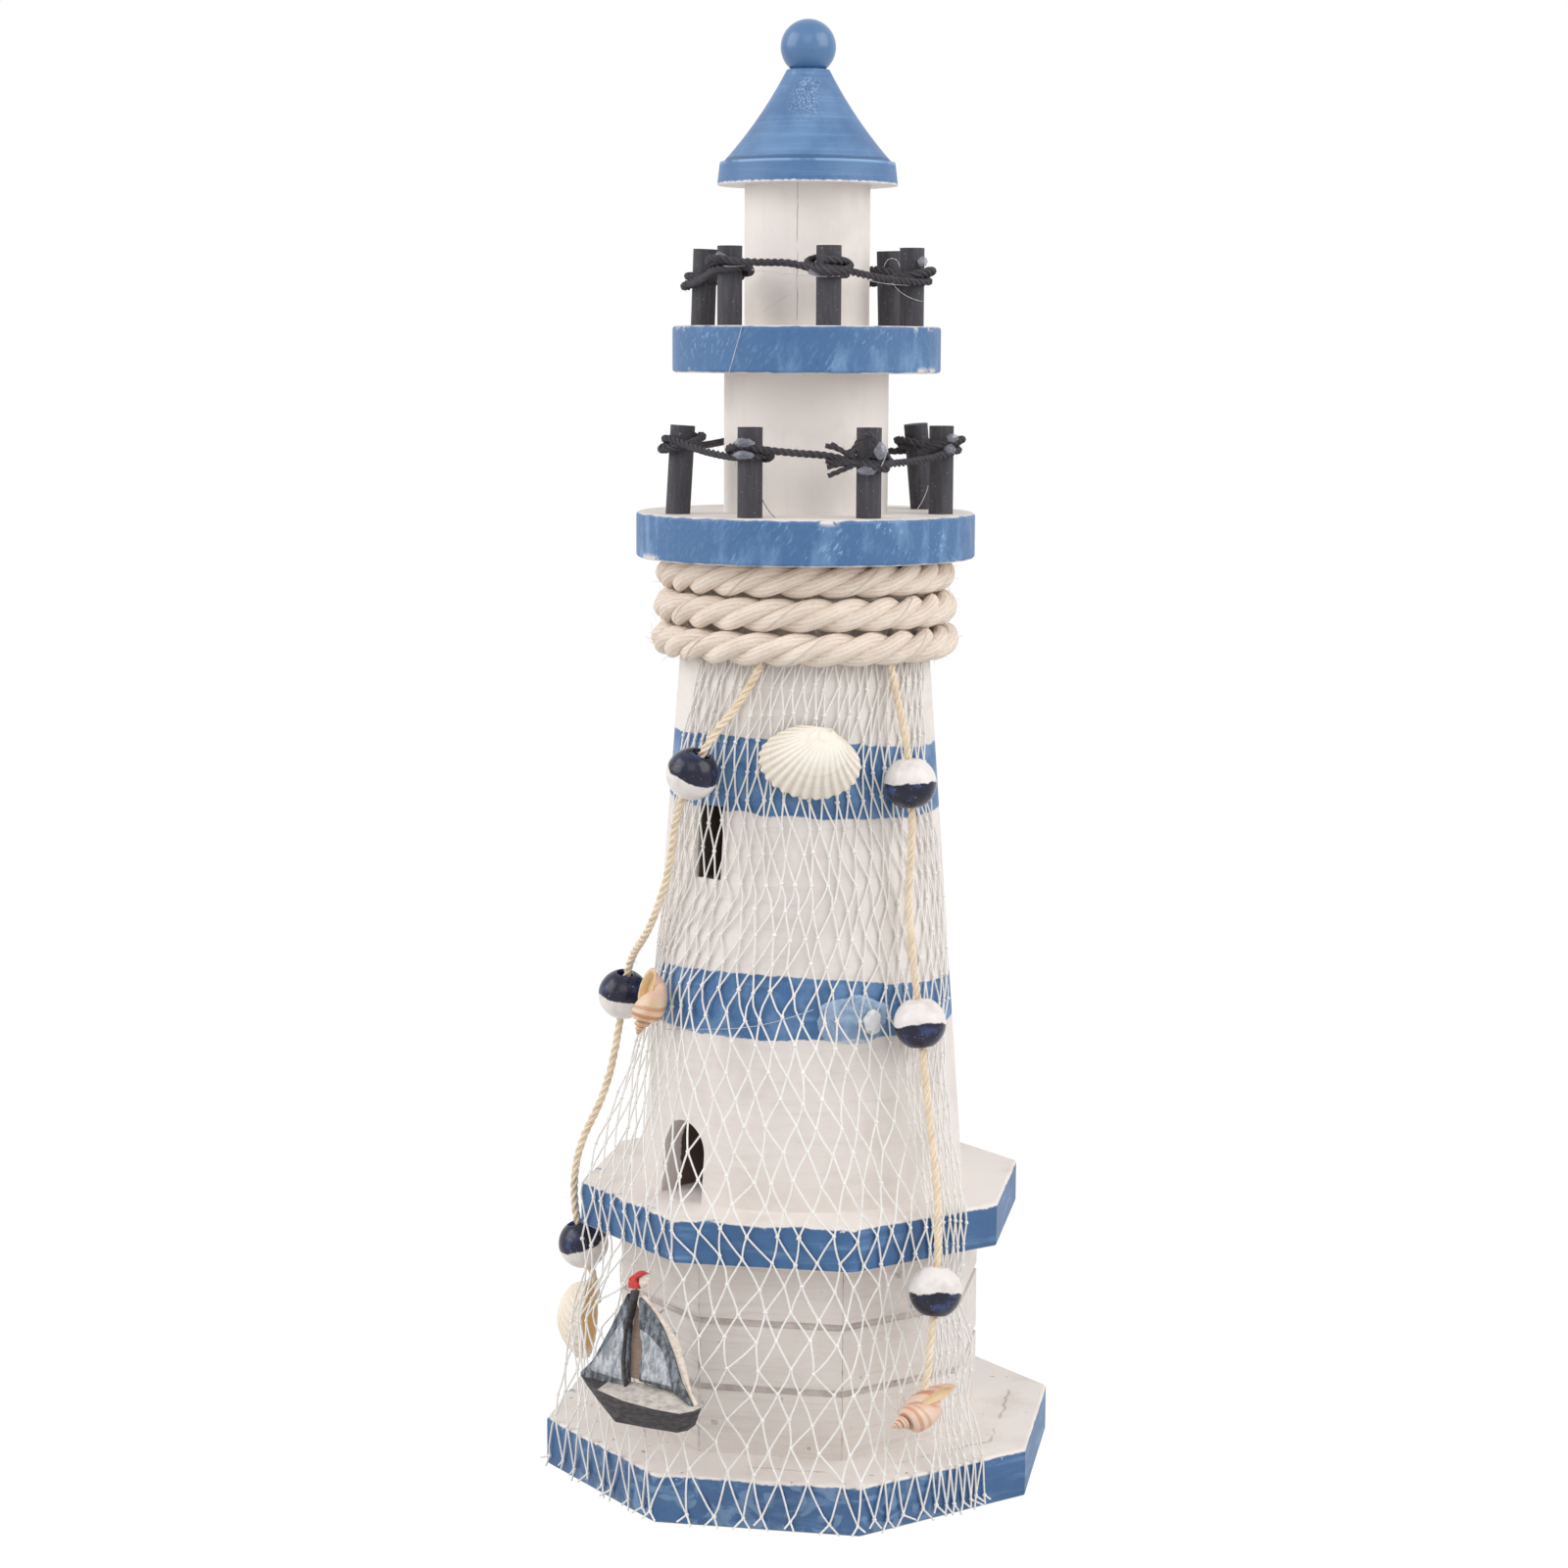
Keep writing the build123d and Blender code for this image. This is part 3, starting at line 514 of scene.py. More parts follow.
def laid_cord_tree():
    """Strands twisted round a path, with loose fibres; length along the path is kept for the finish."""
    lay, given = new_tree("laid_cord", {
        "Geometry": "Geometry", "Strands": "Int", "Sides": "Int", "Strand Circle": "Float",
        "Strand Radius": "Float", "Lay": "Float", "Step": "Float", "Fibres": "Float",
        "Fibre Length": "Float", "Finish": "Material",
    })
    spaced = {"Curve": given["Geometry"], "Length": given["Step"]}
    path = lay.add("GeometryNodeResampleCurve", {"mode": "LENGTH"}, spaced)
    run = lay.geo("SplineParameter", {}, "Length")
    path = lay.geo("StoreNamedAttribute", {"Geometry": path, "Name": "along", "Value": run})
    path = lay.geo("SetCurveTilt", {"Curve": path, "Tilt": run * math.tau / given["Lay"]})
    circle = "CurvePrimitiveCircle"
    ring = lay.geo(circle, {"Resolution": given["Strands"], "Radius": given["Strand Circle"]})
    strand = lay.geo(circle, {"Resolution": given["Sides"], "Radius": given["Strand Radius"]})
    turn = lay.geo("SplineParameter", {}, "Factor")
    strand = lay.geo("StoreNamedAttribute", {"Geometry": strand, "Name": "round", "Value": turn})
    bundle = lay.geo("InstanceOnPoints", {"Points": ring, "Instance": strand})
    bundle = lay.geo("RealizeInstances", {"Geometry": bundle})
    cord = lay.geo("CurveToMesh", {"Curve": path, "Profile Curve": bundle, "Fill Caps": True})
    sown = {"Mesh": cord, "Density": given["Fibres"], "Seed": 4}
    spots = lay.geo("DistributePointsOnFaces", sown, "Points")
    length = given["Fibre Length"]
    tip = lay.add("ShaderNodeCombineXYZ", {}, {"X": length, "Z": length * hair_rise})
    bend = lay.add("ShaderNodeCombineXYZ", {}, {"X": length * hair_curl, "Z": length * hair_rise})
    bow = {"Resolution": 3, "Start": (0, 0, 0), "Middle": bend, "End": tip}
    thread = lay.geo(circle, {"Resolution": 3, "Radius": length * hair_thickness})
    hair = {"Curve": lay.geo("CurveQuadraticBezier", bow), "Profile Curve": thread, "Fill Caps": True}
    hair = lay.geo("CurveToMesh", hair)
    chance = "FunctionNodeRandomValue"
    spin = lay.add(chance, {"data_type": "FLOAT_VECTOR"}, {**any_turn, "Seed": 9})
    grow = lay.add(chance, {"data_type": "FLOAT"}, {2: 0.5, 3: 1.2, "Seed": 2}, 1)
    fluff = {"Points": spots, "Instance": hair, "Rotation": spin, "Scale": grow}
    return end_tree(lay, (cord, lay.geo("InstanceOnPoints", fluff)), given["Finish"])


laid_cord = laid_cord_tree()


def worked(carrier, tree, sizes, name):
    """The plain mesh that a node tree makes of an object, as a piece of its own; the carrier goes."""
    carrier.name = f"{name}_carrier"
    modifier = carrier.modifiers.new("work", "NODES")
    modifier.node_group = tree
    for item in tree.interface.items_tree:
        if item.in_out == "INPUT" and item.name in sizes:
            modifier[item.identifier] = sizes[item.name]
    evaluated = carrier.evaluated_get(bpy.context.evaluated_depsgraph_get())
    mesh = bpy.data.meshes.new_from_object(evaluated)
    bpy.data.objects.remove(carrier)
    return placed(name, mesh)


def glued(piece, slot, *nodes):
    """Fixes a piece to the lighthouse, in place of any CAD nodes that it stands for."""
    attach(piece, "lighthouse")
    if nodes:
        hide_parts(*nodes)


def corded(name, lines, sizes, slot, *nodes):
    """A laid cord along given lines, glued down."""
    glued(worked(route(f"{name}_path", *lines), laid_cord, sizes, name), slot, *nodes)


def cord_finish(name, pale, dark, yarns, slope):
    """Twisted yarn: fine lines that run along each strand, and soft wear where it is handled."""
    paint, place, parts = new_finish(name)
    along = paint.mark("along")
    turn = paint.mark("round")
    slant = turn * yarns + along * slope
    lines = paint.maths("SINE", slant * math.tau) * 0.5 + 0.5
    drawn = paint.add("ShaderNodeCombineXYZ", {}, {"X": slant * 2.6, "Y": along * 260.0, "Z": turn})
    fibres = paint.noise(drawn, 1.0, 4.0, 0.7)
    fluff = paint.noise(place, 1400.0, 4.0, 0.7)
    clouds = paint.noise(place, 90.0)
    shade = lines * 0.12 + fibres * 0.45 + fluff * 0.3 + clouds * 0.3
    colour = shade.smooth(0.75, 0.3).mix(pale, dark)
    return paint.coat(colour, 0.85, lines * 0.2 + fibres * 0.6 + fluff * 0.5, 0.0003, 0.7)


rope_points = []
for step in range(round((rope_end * 2 + 360 * (rope_turns - 1)) / rope_point_step) + 1):
    azimuth = -rope_end + step * rope_point_step
    turns, phase = divmod(azimuth + rope_climb, 360)
    fall = min(max((phase - 2 * rope_climb) / (360 - 2 * rope_climb), 0), 1)
    rows = turns + fall * fall * (3 - 2 * fall)
    z = tower_top - rope_wall_gap - rope_thickness / 2 - rope_row_drop * rows
    reach = tower_radius(z) + rope_thickness / 2 - rope_press
    rope_points.append(at(azimuth, reach / math.cos(math.radians(rope_point_step / 2)), z))
rope_cotton = cord_finish("rope_cotton", srgb(240, 227, 214), srgb(203, 184, 166), 12.0, -440.0)
rope_sizes = {
    "Strands": 3, "Sides": 18, "Strand Circle": 0.00176, "Strand Radius": 0.00202, "Lay": rope_lay,
    "Step": 0.0008, "Fibres": 110000.0, "Fibre Length": 0.0022, "Finish": rope_cotton,
}
corded("rope", [rope_points], rope_sizes, "rope_cotton", "rope_winding")

# Railing cords: dark twisted cord, one length to a gallery, with a full turn round every post.
# The turns are held by dabs of cloudy glue, and the tails are cut and frayed at the first post.
rail_pitch, rail_sag, rail_point_step = 0.0021, 0.0006, 30.0
post_reach, tie_lift, tie_slope = 0.0038, 0.0010, 0.0016
tie_steps, end_steps = 15, 7
sagging_shares = (0.35, 0.7)
lower_posts = [
    (36, 0, 0.0129, -1), (86, 0, 0.0152, 1), (130, 6, 0.0145, -1),
    (215, 2, 0.0145, 1), (304, 3.5, 0.0158, 1), (347, 0, 0.0142, 1),
]
upper_posts = [
    (21, 0, 0.0132, -1), (81, 0, 0.0108, 1), (139, 2, 0.0115, -1),
    (201, 1, 0.0115, 1), (263.5, 2, 0.0104, -1), (326.5, 0, 0.0130, 1),
]
railings = {
    "lower": (lower_posts, 0.0313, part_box("lower_gallery")[1].z),
    "upper": (upper_posts, 0.0247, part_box("upper_gallery")[1].z),
}


def post_centre(place, circle, z):
    """Middle of a leaning post where the cord passes it."""
    azimuth, lean, height, way = place
    return at(azimuth, circle - height * math.tan(math.radians(lean)), z)


def rail_points(places, circle, foot):
    """A cord's route: a turn round each post in order, up (1) or down (-1) it, and back to the first."""
    reach = post_reach / math.cos(math.radians(rail_point_step / 2))
    centres = [post_centre(place, circle, 0) for place in places]
    levels = [foot + height for azimuth, lean, height, way in places]
    climbs = [way * rail_pitch for azimuth, lean, height, way in places]
    runs = [(b - a).normalized() for a, b in zip(centres, centres[1:] + centres[:1])]
    angles = [math.degrees(math.atan2(-run.x, run.y)) for run in runs]

    def touch(post, angle, level):
        return centres[post] + sideways(angle) * reach + Vector((0, 0, level))

    points = []
    for post in range(len(places)):
        enter = angles[post - 1]
        turn = 360 + (angles[post] - enter) % 360
        steps = round(turn / rail_point_step)
        for step in range(steps + 1):
            share = step / steps
            points.append(touch(post, enter + turn * share, levels[post] + climbs[post] * (share - 0.5)))
        after = (post + 1) % len(places)
        start, goal = points[-1], touch(after, angles[post], levels[after] - climbs[after] / 2)
        points += [start.lerp(goal, share) - Vector((0, 0, rail_sag)) for share in sagging_shares]
    for step in range(end_steps):
        points.append(touch(0, angles[-1] + step * rail_point_step, levels[0] - rail_pitch))
    return points


def tie_points(place, circle, foot, slope):
    """A second, crossed turn that knots the cord on a post."""
    centre = post_centre(place, circle, foot + place[2])
    points = []
    for step in range(tie_steps):
        turn = step * rail_point_step
        rise = Vector((0, 0, slope * math.sin(math.radians(turn))))
        points.append(centre + sideways(place[0] + turn) * (post_reach + tie_lift) + rise)
    return points


rail_twine = cord_finish("rail_twine", srgb(82, 78, 84), srgb(40, 38, 44), 3.0, 60.0)
rail_sizes = {
    "Strands": 3, "Sides": 7, "Strand Circle": 0.00043, "Strand Radius": 0.00047, "Lay": 0.0046,
    "Step": 0.0005, "Fibres": 160000.0, "Fibre Length": 0.0012, "Finish": rail_twine,
}
tail_lines = [
    [(16.1, -30.0, 234.2), (13.6, -30.5, 235.1), (12.1, -30.7, 236.1), (10.9, -31.0, 236.9)],
    [(16.1, -30.0, 234.2), (13.6, -30.5, 235.1), (11.6, -30.8, 236.2), (9.7, -31.2, 236.4)],
    [(16.1, -30.2, 233.1), (12.9, -30.8, 232.7), (9.8, -31.4, 233.1)],
    [(16.1, -30.2, 232.9), (13.2, -30.7, 232.6), (10.1, -31.3, 231.8)],
    [(16.1, -30.0, 232.4), (13.4, -30.5, 231.2), (10.3, -31.1, 229.9)],
    [
        (15.2, -30.6, 234.1), (16.1, -30.4, 236.8), (18.6, -30.0, 239.3), (20.1, -29.7, 238.6),
        (21.4, -29.4, 235.1),
    ],
]
millimetre = 0.001


def in_metres(lines):
    return [[Vector(point) * millimetre for point in line] for line in lines]


tail_sizes = {**rail_sizes, "Strand Circle": 0.00030, "Strand Radius": 0.00034}
corded("lower_rail_tails", in_metres(tail_lines), tail_sizes, "rail_twine")
for level, (places, circle, foot) in railings.items():
    points = rail_points(places, circle, foot)
    corded(f"{level}_rail", [points], rail_sizes, "rail_twine", f"{level}_rail_cord")
    for number, place in enumerate(places, 1):
        points = tie_points(place, circle, foot, tie_slope if number % 2 else -tie_slope)
        corded(f"{level}_tie_{number}", [points], rail_sizes, "rail_twine")

# Fishing net: cream cotton netting knotted by hand, draped over the front and glued at its borders.
# It hugs the tower, hangs free from below the lower band to the deck, and ends cut on the base's edge.
net_columns, net_bar = 26, 0.0064
net_strand_radius, net_knot_radius = 0.00023, 0.00050
net_lift = 0.0006
deck_rim, skirt_rim, base_rim = 0.0487, 0.0518, 0.0563
facet_turn = 45.0
half_facet = math.tan(math.radians(facet_turn / 2))
net_slack, net_side_slack = 0.0008, 0.0018
gathers_from, gathers_over = 0.7, 0.2
fringe_length, fringe_foot, fringe_lift = 0.0030, 0.0006, 0.4
middle_left, middle_right, least_rise = 0.28, 0.72, 0.6
knot_stray, drop_stray, strand_stray, strand_steps = 0.24, 0.0009, 0.05, 4
net_stations = [
    ("wall", 0.1896, [(0, -0.96), (26, 1.72)]),
    ("wall", 0.1650, [(0, -1.27), (26, 1.60)]),
    ("wall", 0.1370, [(0, -1.45), (26, 1.90)]),
    ("wall", 0.1120, [(0, -1.62), (4, -1.40), (8, -0.80), (18, 0.85), (26, 1.86)]),
    (deck_rim, 0.0674, [(0, -1.48), (8, -0.50), (15, 0.50), (19, 0.98), (26, 1.27)]),
    (deck_rim, 0.0566, [(0, -1.46), (8, -0.47), (15, 0.53), (19, 1.00), (26, 1.27)]),
    (
        skirt_rim, 0.0370,
        [(0, -1.43), (4, -1.27), (6, -0.86), (8, -0.50), (15, 0.52), (20, 0.98), (26, 1.26)],
    ),
    (base_rim, 0.0117, [(0, -1.46), (8, -0.50), (15.3, 0.50), (20, 0.95), (26, 1.24)]),
    (base_rim, 0.0026, [(0, -1.45), (8, -0.49), (15.3, 0.51), (20, 0.96), (26, 1.24)]),
]
shuffle = random.Random(21)


def between(stops, column):
    """A value read off a broken line of (column, value) stops."""
    for (low, first), (high, second) in zip(stops, stops[1:]):
        if column <= high:
            break
    return first + (second - first) * (column - low) / (high - low)


def net_level_point(station, share):
    """Point of a net's column on one of the levels that it is draped over."""
    carrier, z, spread = station
    facets = between(spread, share * net_columns)
    if carrier == "wall":
        return at(facet_turn * facets, tower_radius(z) + net_lift, z)
    flat = round(facets)
    aside = sideways(facet_turn * flat) * (facets - flat) * 2 * carrier * half_facet
    return at(facet_turn * flat, carrier, z) + aside


net_drops = [0.0]
for upper, lower in zip(net_stations, net_stations[1:]):
    fall = net_level_point(upper, 0.5) - net_level_point(lower, 0.5)
    net_drops.append(net_drops[-1] + fall.length)


def away_from_axis(point):
    return outward(math.degrees(math.atan2(point.x, -point.y)))


def net_point(share, drop):
    """Point of the hung net, by its share of the width and the distance down it."""
    share = min(max(share, 0), 1)
    drop = min(max(drop, 0), net_drops[-1])
    level = max(i for i in range(len(net_drops) - 1) if net_drops[i] <= drop or i == 0)
    upper, lower = net_stations[level], net_stations[level + 1]
    down = (drop - net_drops[level]) / (net_drops[level + 1] - net_drops[level])
    if lower[0] == "wall":
        above, below = (between(station[2], share * net_columns) for station in (upper, lower))
        z = upper[1] + (lower[1] - upper[1]) * down
        return at(facet_turn * (above * (1 - down) + below * down), tower_radius(z) + net_lift, z)
    point = net_level_point(upper, share).lerp(net_level_point(lower, share), down)
    if upper[0] != lower[0]:
        gathered = min(max((share - gathers_from) / gathers_over, 0), 1)
        slack = (net_slack + net_side_slack * gathered) * math.sin(math.pi * down)
        point -= away_from_axis(point) * slack
    return point


def netting_tree():
    """Round strands along loose edges, with a knot on every marked point."""
    net, given = new_tree("netting", {
        "Geometry": "Geometry", "Strand Radius": "Float", "Knot Radius": "Float", "Finish": "Material",
    })
    lines = net.geo("MeshToCurve", {"Mesh": given["Geometry"]})
    profile = net.geo("CurvePrimitiveCircle", {"Resolution": 5, "Radius": given["Strand Radius"]})
    strands = net.geo("CurveToMesh", {"Curve": lines, "Profile Curve": profile, "Fill Caps": True})
    marked = net.add("GeometryNodeInputNamedAttribute", {"data_type": "FLOAT"}, {"Name": "knot"})
    knot = net.geo("MeshUVSphere", {"Segments": 7, "Rings": 5, "Radius": given["Knot Radius"]})
    chance, vector = "FunctionNodeRandomValue", {"data_type": "FLOAT_VECTOR"}
    spin = net.add(chance, vector, {**any_turn, "Seed": 3})
    grow = net.add(chance, vector, {0: (0.7, 0.8, 0.75), 1: (1.1, 1.3, 1.15), "Seed": 8})
    points = net.geo("MeshToPoints", {"Mesh": given["Geometry"], "Selection": marked})
    tied = {"Points": points, "Instance": knot, "Rotation": spin, "Scale": grow}
    return end_tree(net, (strands, net.geo("InstanceOnPoints", tied)), given["Finish"])


def net_cotton():
    paint, place, parts = new_finish("net_cotton")
    fluff = paint.noise(place, 1800.0, 4.0, 0.7)
    clouds = paint.noise(place, 70.0)
    shade = (fluff * 0.6 + clouds * 0.5).smooth(0.7, 0.35)
    colour = shade.mix(srgb(249, 247, 244), srgb(237, 232, 226))
    return paint.coat(colour, 0.85, fluff, 0.0003, 0.8)


net_rows = []
drop = 0.0
while drop < net_drops[-1]:
    net_rows.append(drop)
    width = (net_point(middle_right, drop) - net_point(middle_left, drop)).length
    column = width / ((middle_right - middle_left) * net_columns)
    drop += math.sqrt(max(net_bar**2 - (column / 2) ** 2, (least_rise * net_bar) ** 2))
net_rows[-1] = net_drops[-1]
form = bmesh.new()
knot_mark = form.verts.layers.float.new("knot")
knots = {}
for row, drop in enumerate(net_rows):
    for column in range(net_columns + row % 2):
        share = (column + 0.5 * (1 - row % 2)) / net_columns
        share += shuffle.uniform(-knot_stray, knot_stray) / net_columns
        knots[row, column] = (share, drop + shuffle.uniform(-drop_stray, drop_stray))


def net_vertex(share, drop, knotted=0.0):
    vert = form.verts.new(net_point(share, drop))
    vert[knot_mark] = knotted
    return vert


corner_verts = {key: net_vertex(share, drop, 1.0) for key, (share, drop) in knots.items()}
for (row, column), (share, drop) in knots.items():
    for step in (0, 1):
        other = (row + 1, column - step if row % 2 else column + 1 - step)
        if other not in knots:
            continue
        bow = shuffle.uniform(-strand_stray, strand_stray) / net_columns
        last = corner_verts[row, column]
        for i in range(1, strand_steps):
            t = i / strand_steps
            aside = share + (knots[other][0] - share) * t + bow * 4 * t * (1 - t)
            middle = net_vertex(aside, drop + (knots[other][1] - drop) * t)
            form.edges.new((last, middle))
            last = middle
        form.edges.new((last, corner_verts[other]))
for column in range(net_columns + (len(net_rows) - 1) % 2):
    knot = corner_verts[len(net_rows) - 1, column]
    away = away_from_axis(knot.co)
    for swing in (-1, 1):
        lean = Vector((0, 0, -1)) * shuffle.uniform(0.3, 0.9) + away * fringe_lift
        lean += away.cross(Vector((0, 0, 1))) * swing * shuffle.uniform(0.3, 0.8)
        tail_end = knot.co + lean.normalized() * fringe_length * shuffle.uniform(0.6, 1.2)
        tail_end.z = max(tail_end.z, fringe_foot)
        form.edges.new((knot, form.verts.new(tail_end)))
mesh = bpy.data.meshes.new("net_lines")
form.to_mesh(mesh)
form.free()
net_sizes = {"Strand Radius": net_strand_radius, "Knot Radius": net_knot_radius, "Finish": net_cotton()}
net = worked(placed("net_lines", mesh), netting_tree(), net_sizes, "net")
net_bands = ("net_tower_band", "net_upper_skirt", "net_deck_band", "net_lower_skirt", "net_base_band")
glued(net, "net_cotton", *net_bands)

# Beads: turned wooden beads, three threaded on each twine and free to spin on it.
# Dipped navy on one half and white on the other, with a wavy line between, and varnished.
bead_radius, bead_bore = 0.00585, 0.0017
bead_rings, bead_sides, bead_flat, bead_brim = 24, 40, 0.0026, 0.0001
bore_depth, chamfer_depth, chamfer_width, mouth_width = 0.84, 0.95, 1.2, 0.85
sharp_angle, weld = math.radians(50), 1e-7


def finished(name, form, material):
    """An object of a mesh under work, smooth and in its finish."""
    mesh = bpy.data.meshes.new(name)
    form.to_mesh(mesh)
    form.free()
    mesh.shade_smooth()
    mesh.set_sharp_from_angle(angle=sharp_angle)
    mesh.materials.append(material)
    return placed(name, mesh)


def skinned(rings, marks=None, whole=False):
    """Mesh under work through loops of points; the end loops are filled, or joined if it is whole."""
    form = bmesh.new()
    layers = {mark: form.verts.layers.float.new(mark) for mark in marks or {}}
    loops = []
    for r, ring in enumerate(rings):
        loops.append([form.verts.new(point) for point in ring])
        for i, vert in enumerate(loops[-1]):
            for mark, layer in layers.items():
                vert[layer] = marks[mark](r, i)
    pairs = list(zip(loops, loops[1:])) + ([(loops[-1], loops[0])] if whole else [])
    for low, high in pairs:
        for i in range(len(low)):
            j = (i + 1) % len(low)
            form.faces.new((low[i], low[j], high[j], high[i]))
    if not whole:
        form.faces.new(loops[0])
        form.faces.new(loops[-1])
    bmesh.ops.remove_doubles(form, verts=form.verts, dist=weld)
    bmesh.ops.recalc_face_normals(form, faces=form.faces)
    return form


def bead_paint(name, upper, lower):
    paint, place, parts = new_finish(name)
    height = paint.mark("bore_share")
    wave = paint.noise(place, 160.0, 2.0)
    specks = paint.noise(place, 1500.0, 3.0, 0.7)
    half = (height + (wave - 0.5) * 0.5 + (specks - 0.5) * 0.12).smooth(-0.03, 0.03)
    cover = paint.noise(place, 300.0, 4.0)
    navy = cover.smooth(0.4, 0.7).mix(srgb(24, 25, 46), srgb(38, 42, 70))
    # Brushed lighter blue streaks in the navy, which also stand in for the varnish's blue highlights as
    # painted reflection.
    navy = (cover.smooth(0.54, 0.66) * 0.45).mix(navy, srgb(66, 88, 146))
    navy = (specks.smooth(0.66, 0.7) * 0.7).mix(navy, srgb(190, 190, 200))
    white = cover.smooth(0.45, 0.75).mix(srgb(232, 226, 222), srgb(212, 204, 200))
    coats = {"navy": navy, "white": white}
    varnish = {"Specular IOR Level": 0.36}
    colour = half.mix(coats[upper], coats[lower])
    return paint.coat(colour, 0.12 + specks * 0.1, cover + specks * 0.4, 0.0002, 0.5, **varnish)


bead_finishes = {
    "left": bead_paint("left_bead_paint", "navy", "white"),
    "right": bead_paint("right_bead_paint", "white", "navy"),
}
flat_angle = math.asin(bead_flat / bead_radius)
bead_mouth = bead_radius * math.cos(flat_angle) + bead_brim
for joint in frame["joints"]:
    bead = joint["child"]
    centre, bore = Vector(joint["pos_m"]), Vector(joint["axis"]).normalized()
    across = bore.orthogonal().normalized()
    along = bore.cross(across)
    section = [
        (bead_bore, -bead_mouth * bore_depth),
        (bead_bore * chamfer_width, -bead_mouth * chamfer_depth),
        (bead_flat * mouth_width, -bead_mouth),
    ]
    for i in range(bead_rings + 1):
        angle = flat_angle + (math.pi - 2 * flat_angle) * i / bead_rings
        section.append((bead_radius * math.sin(angle), -bead_radius * math.cos(angle)))
    section += [(radius, -height) for radius, height in section[2::-1]] + [(bead_bore, 0.0)]
    rings = []
    for radius, height in section:
        turns = [math.tau * i / bead_sides for i in range(bead_sides)]
        spokes = [across * math.cos(turn) + along * math.sin(turn) for turn in turns]
        rings.append([centre + bore * height + spoke * radius for spoke in spokes])
    shape = skinned(rings, {"bore_share": lambda r, i: section[r][1] / bead_radius}, whole=True)
    piece = finished(f"{bead}_turned", shape, bead_finishes[bead.split("_")[0]])
    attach(piece, bead)
    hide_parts(bead)

# Scallop and cockle: real half shells, the scallop glued on the net under the rope and the cockle
# at the left twine's end. Ribs fan out from the hinge and the lips are scalloped by them.
scallop_size, cockle_size = (0.0224, 0.0160, 0.0055), (0.0170, 0.0184, 0.0070)
fan_swing = math.radians(165)
fan_steps, fan_sides = 26, 150
shell_wall, rib_height, growth_line = 0.0009, 0.0005, 0.0001
scallop_ribs, scallop_skew, cockle_ribs = 25, 0.36, 24
scallop_side, scallop_drop, scallop_turn = 0.007, 0.021, -6
cockle_inset, cockle_hang = 0.0019, 0.004


def band_frame(azimuth, foot, head, shrink=1.0):
    """Place on a flat of the net between two levels: X to the right, Y up the net and Z outwards."""
    low, high = (at(azimuth, radius / shrink, z) for radius, z in (foot, head))
    side, up = sideways(azimuth), (high - low).normalized()
    return Matrix.Translation(low) @ Matrix((side, up, side.cross(up))).transposed().to_4x4()


def set_on(band, offset, degrees):
    """A place moved and turned in a band's own plane."""
    return band @ Matrix.Translation(offset) @ Matrix.Rotation(math.radians(degrees), 4, "Z")


def fan_shell(size, ribs, skew, flat_back, place, name, material):
    """Ribbed half shell: hinge near the top, lip down, hollow behind or closed by a flat back."""
    width, height, depth = size
    hinge = Vector((skew * width / 2, height * 0.48, 0))
    rings = []
    for i in range(fan_sides + 1):
        t = -1 + 2 * i / fan_sides
        swing = t * fan_swing
        shoulder = 1 - 0.22 * max(-math.cos(swing), 0) ** 2
        rim = Vector((math.sin(swing) * width / 2 * shoulder, -math.cos(swing) * height / 2, 0))
        rib = 0.5 + 0.5 * math.cos(ribs * math.pi * t)
        front, back = [], []
        for s in range(fan_steps + 1):
            share = s / fan_steps
            grow = share**0.8
            spread = hinge.lerp(rim, grow)
            dome = depth * math.sin(math.pi * min(grow * 0.90 + 0.08, 1)) ** 0.6 * (1 - abs(t) ** 2.2)
            relief = rib_height * grow * rib * (1 - abs(t) ** 8)
            growth = growth_line * math.sin(share * 46)
            if s == fan_steps:
                spread = spread + (rim - hinge).normalized() * rib_height * 0.9 * rib
            lift = (dome + relief + growth * grow) * min(s, 1) + shell_wall * 0.5
            under = shell_wall * 0.2 if flat_back else max(lift - shell_wall * (1 - 0.75 * share), 0.00002)
            front.append(place @ (spread + Vector((0, 0, lift))))
            back.append(place @ (spread + Vector((0, 0, min(under, lift - 0.00005)))))
        rings.append(front + back[::-1])

    marks = {
        "fan_share": lambda r, i: min(i, 2 * fan_steps + 1 - i) / fan_steps,
        "fan_turn": lambda r, i: -1 + 2 * r / fan_sides,
        "behind": lambda r, i: float(i > fan_steps),
    }
    return finished(name, skinned(rings, marks), material)


def fan_colour(name, ribs, pale, warm, blush, lining):
    paint, place, parts = new_finish(name)
    grow = paint.mark("fan_share")
    turn = paint.mark("fan_turn")
    furrow = paint.maths("COSINE", turn * (ribs * math.pi)) * -0.5 + 0.5
    drawn = paint.add("ShaderNodeCombineXYZ", {}, {"X": grow * 14.0, "Y": turn * 0.6})
    rings = paint.noise(drawn, 1.0, 3.0)
    chalk = paint.noise(place, 900.0, 4.0, 0.65)
    patches = paint.noise(place, 170.0, 2.0).smooth(0.5, 0.68)
    behind = paint.mark("behind")
    colour = (furrow * grow.smooth(0.3, 0.75) * 0.6 + rings.smooth(0.5, 0.7) * 0.2).mix(pale, warm)
    colour = (patches * 0.35).mix(colour, blush)
    colour = (chalk.smooth(0.6, 0.7) * 0.4).mix(colour, pale)
    colour = (behind.smooth(0.6, 0.9) * grow.smooth(0.95, 0.8)).mix(colour, lining)
    return paint.coat(colour, 0.5 + chalk * 0.15, chalk + rings, 0.0002, 0.5)


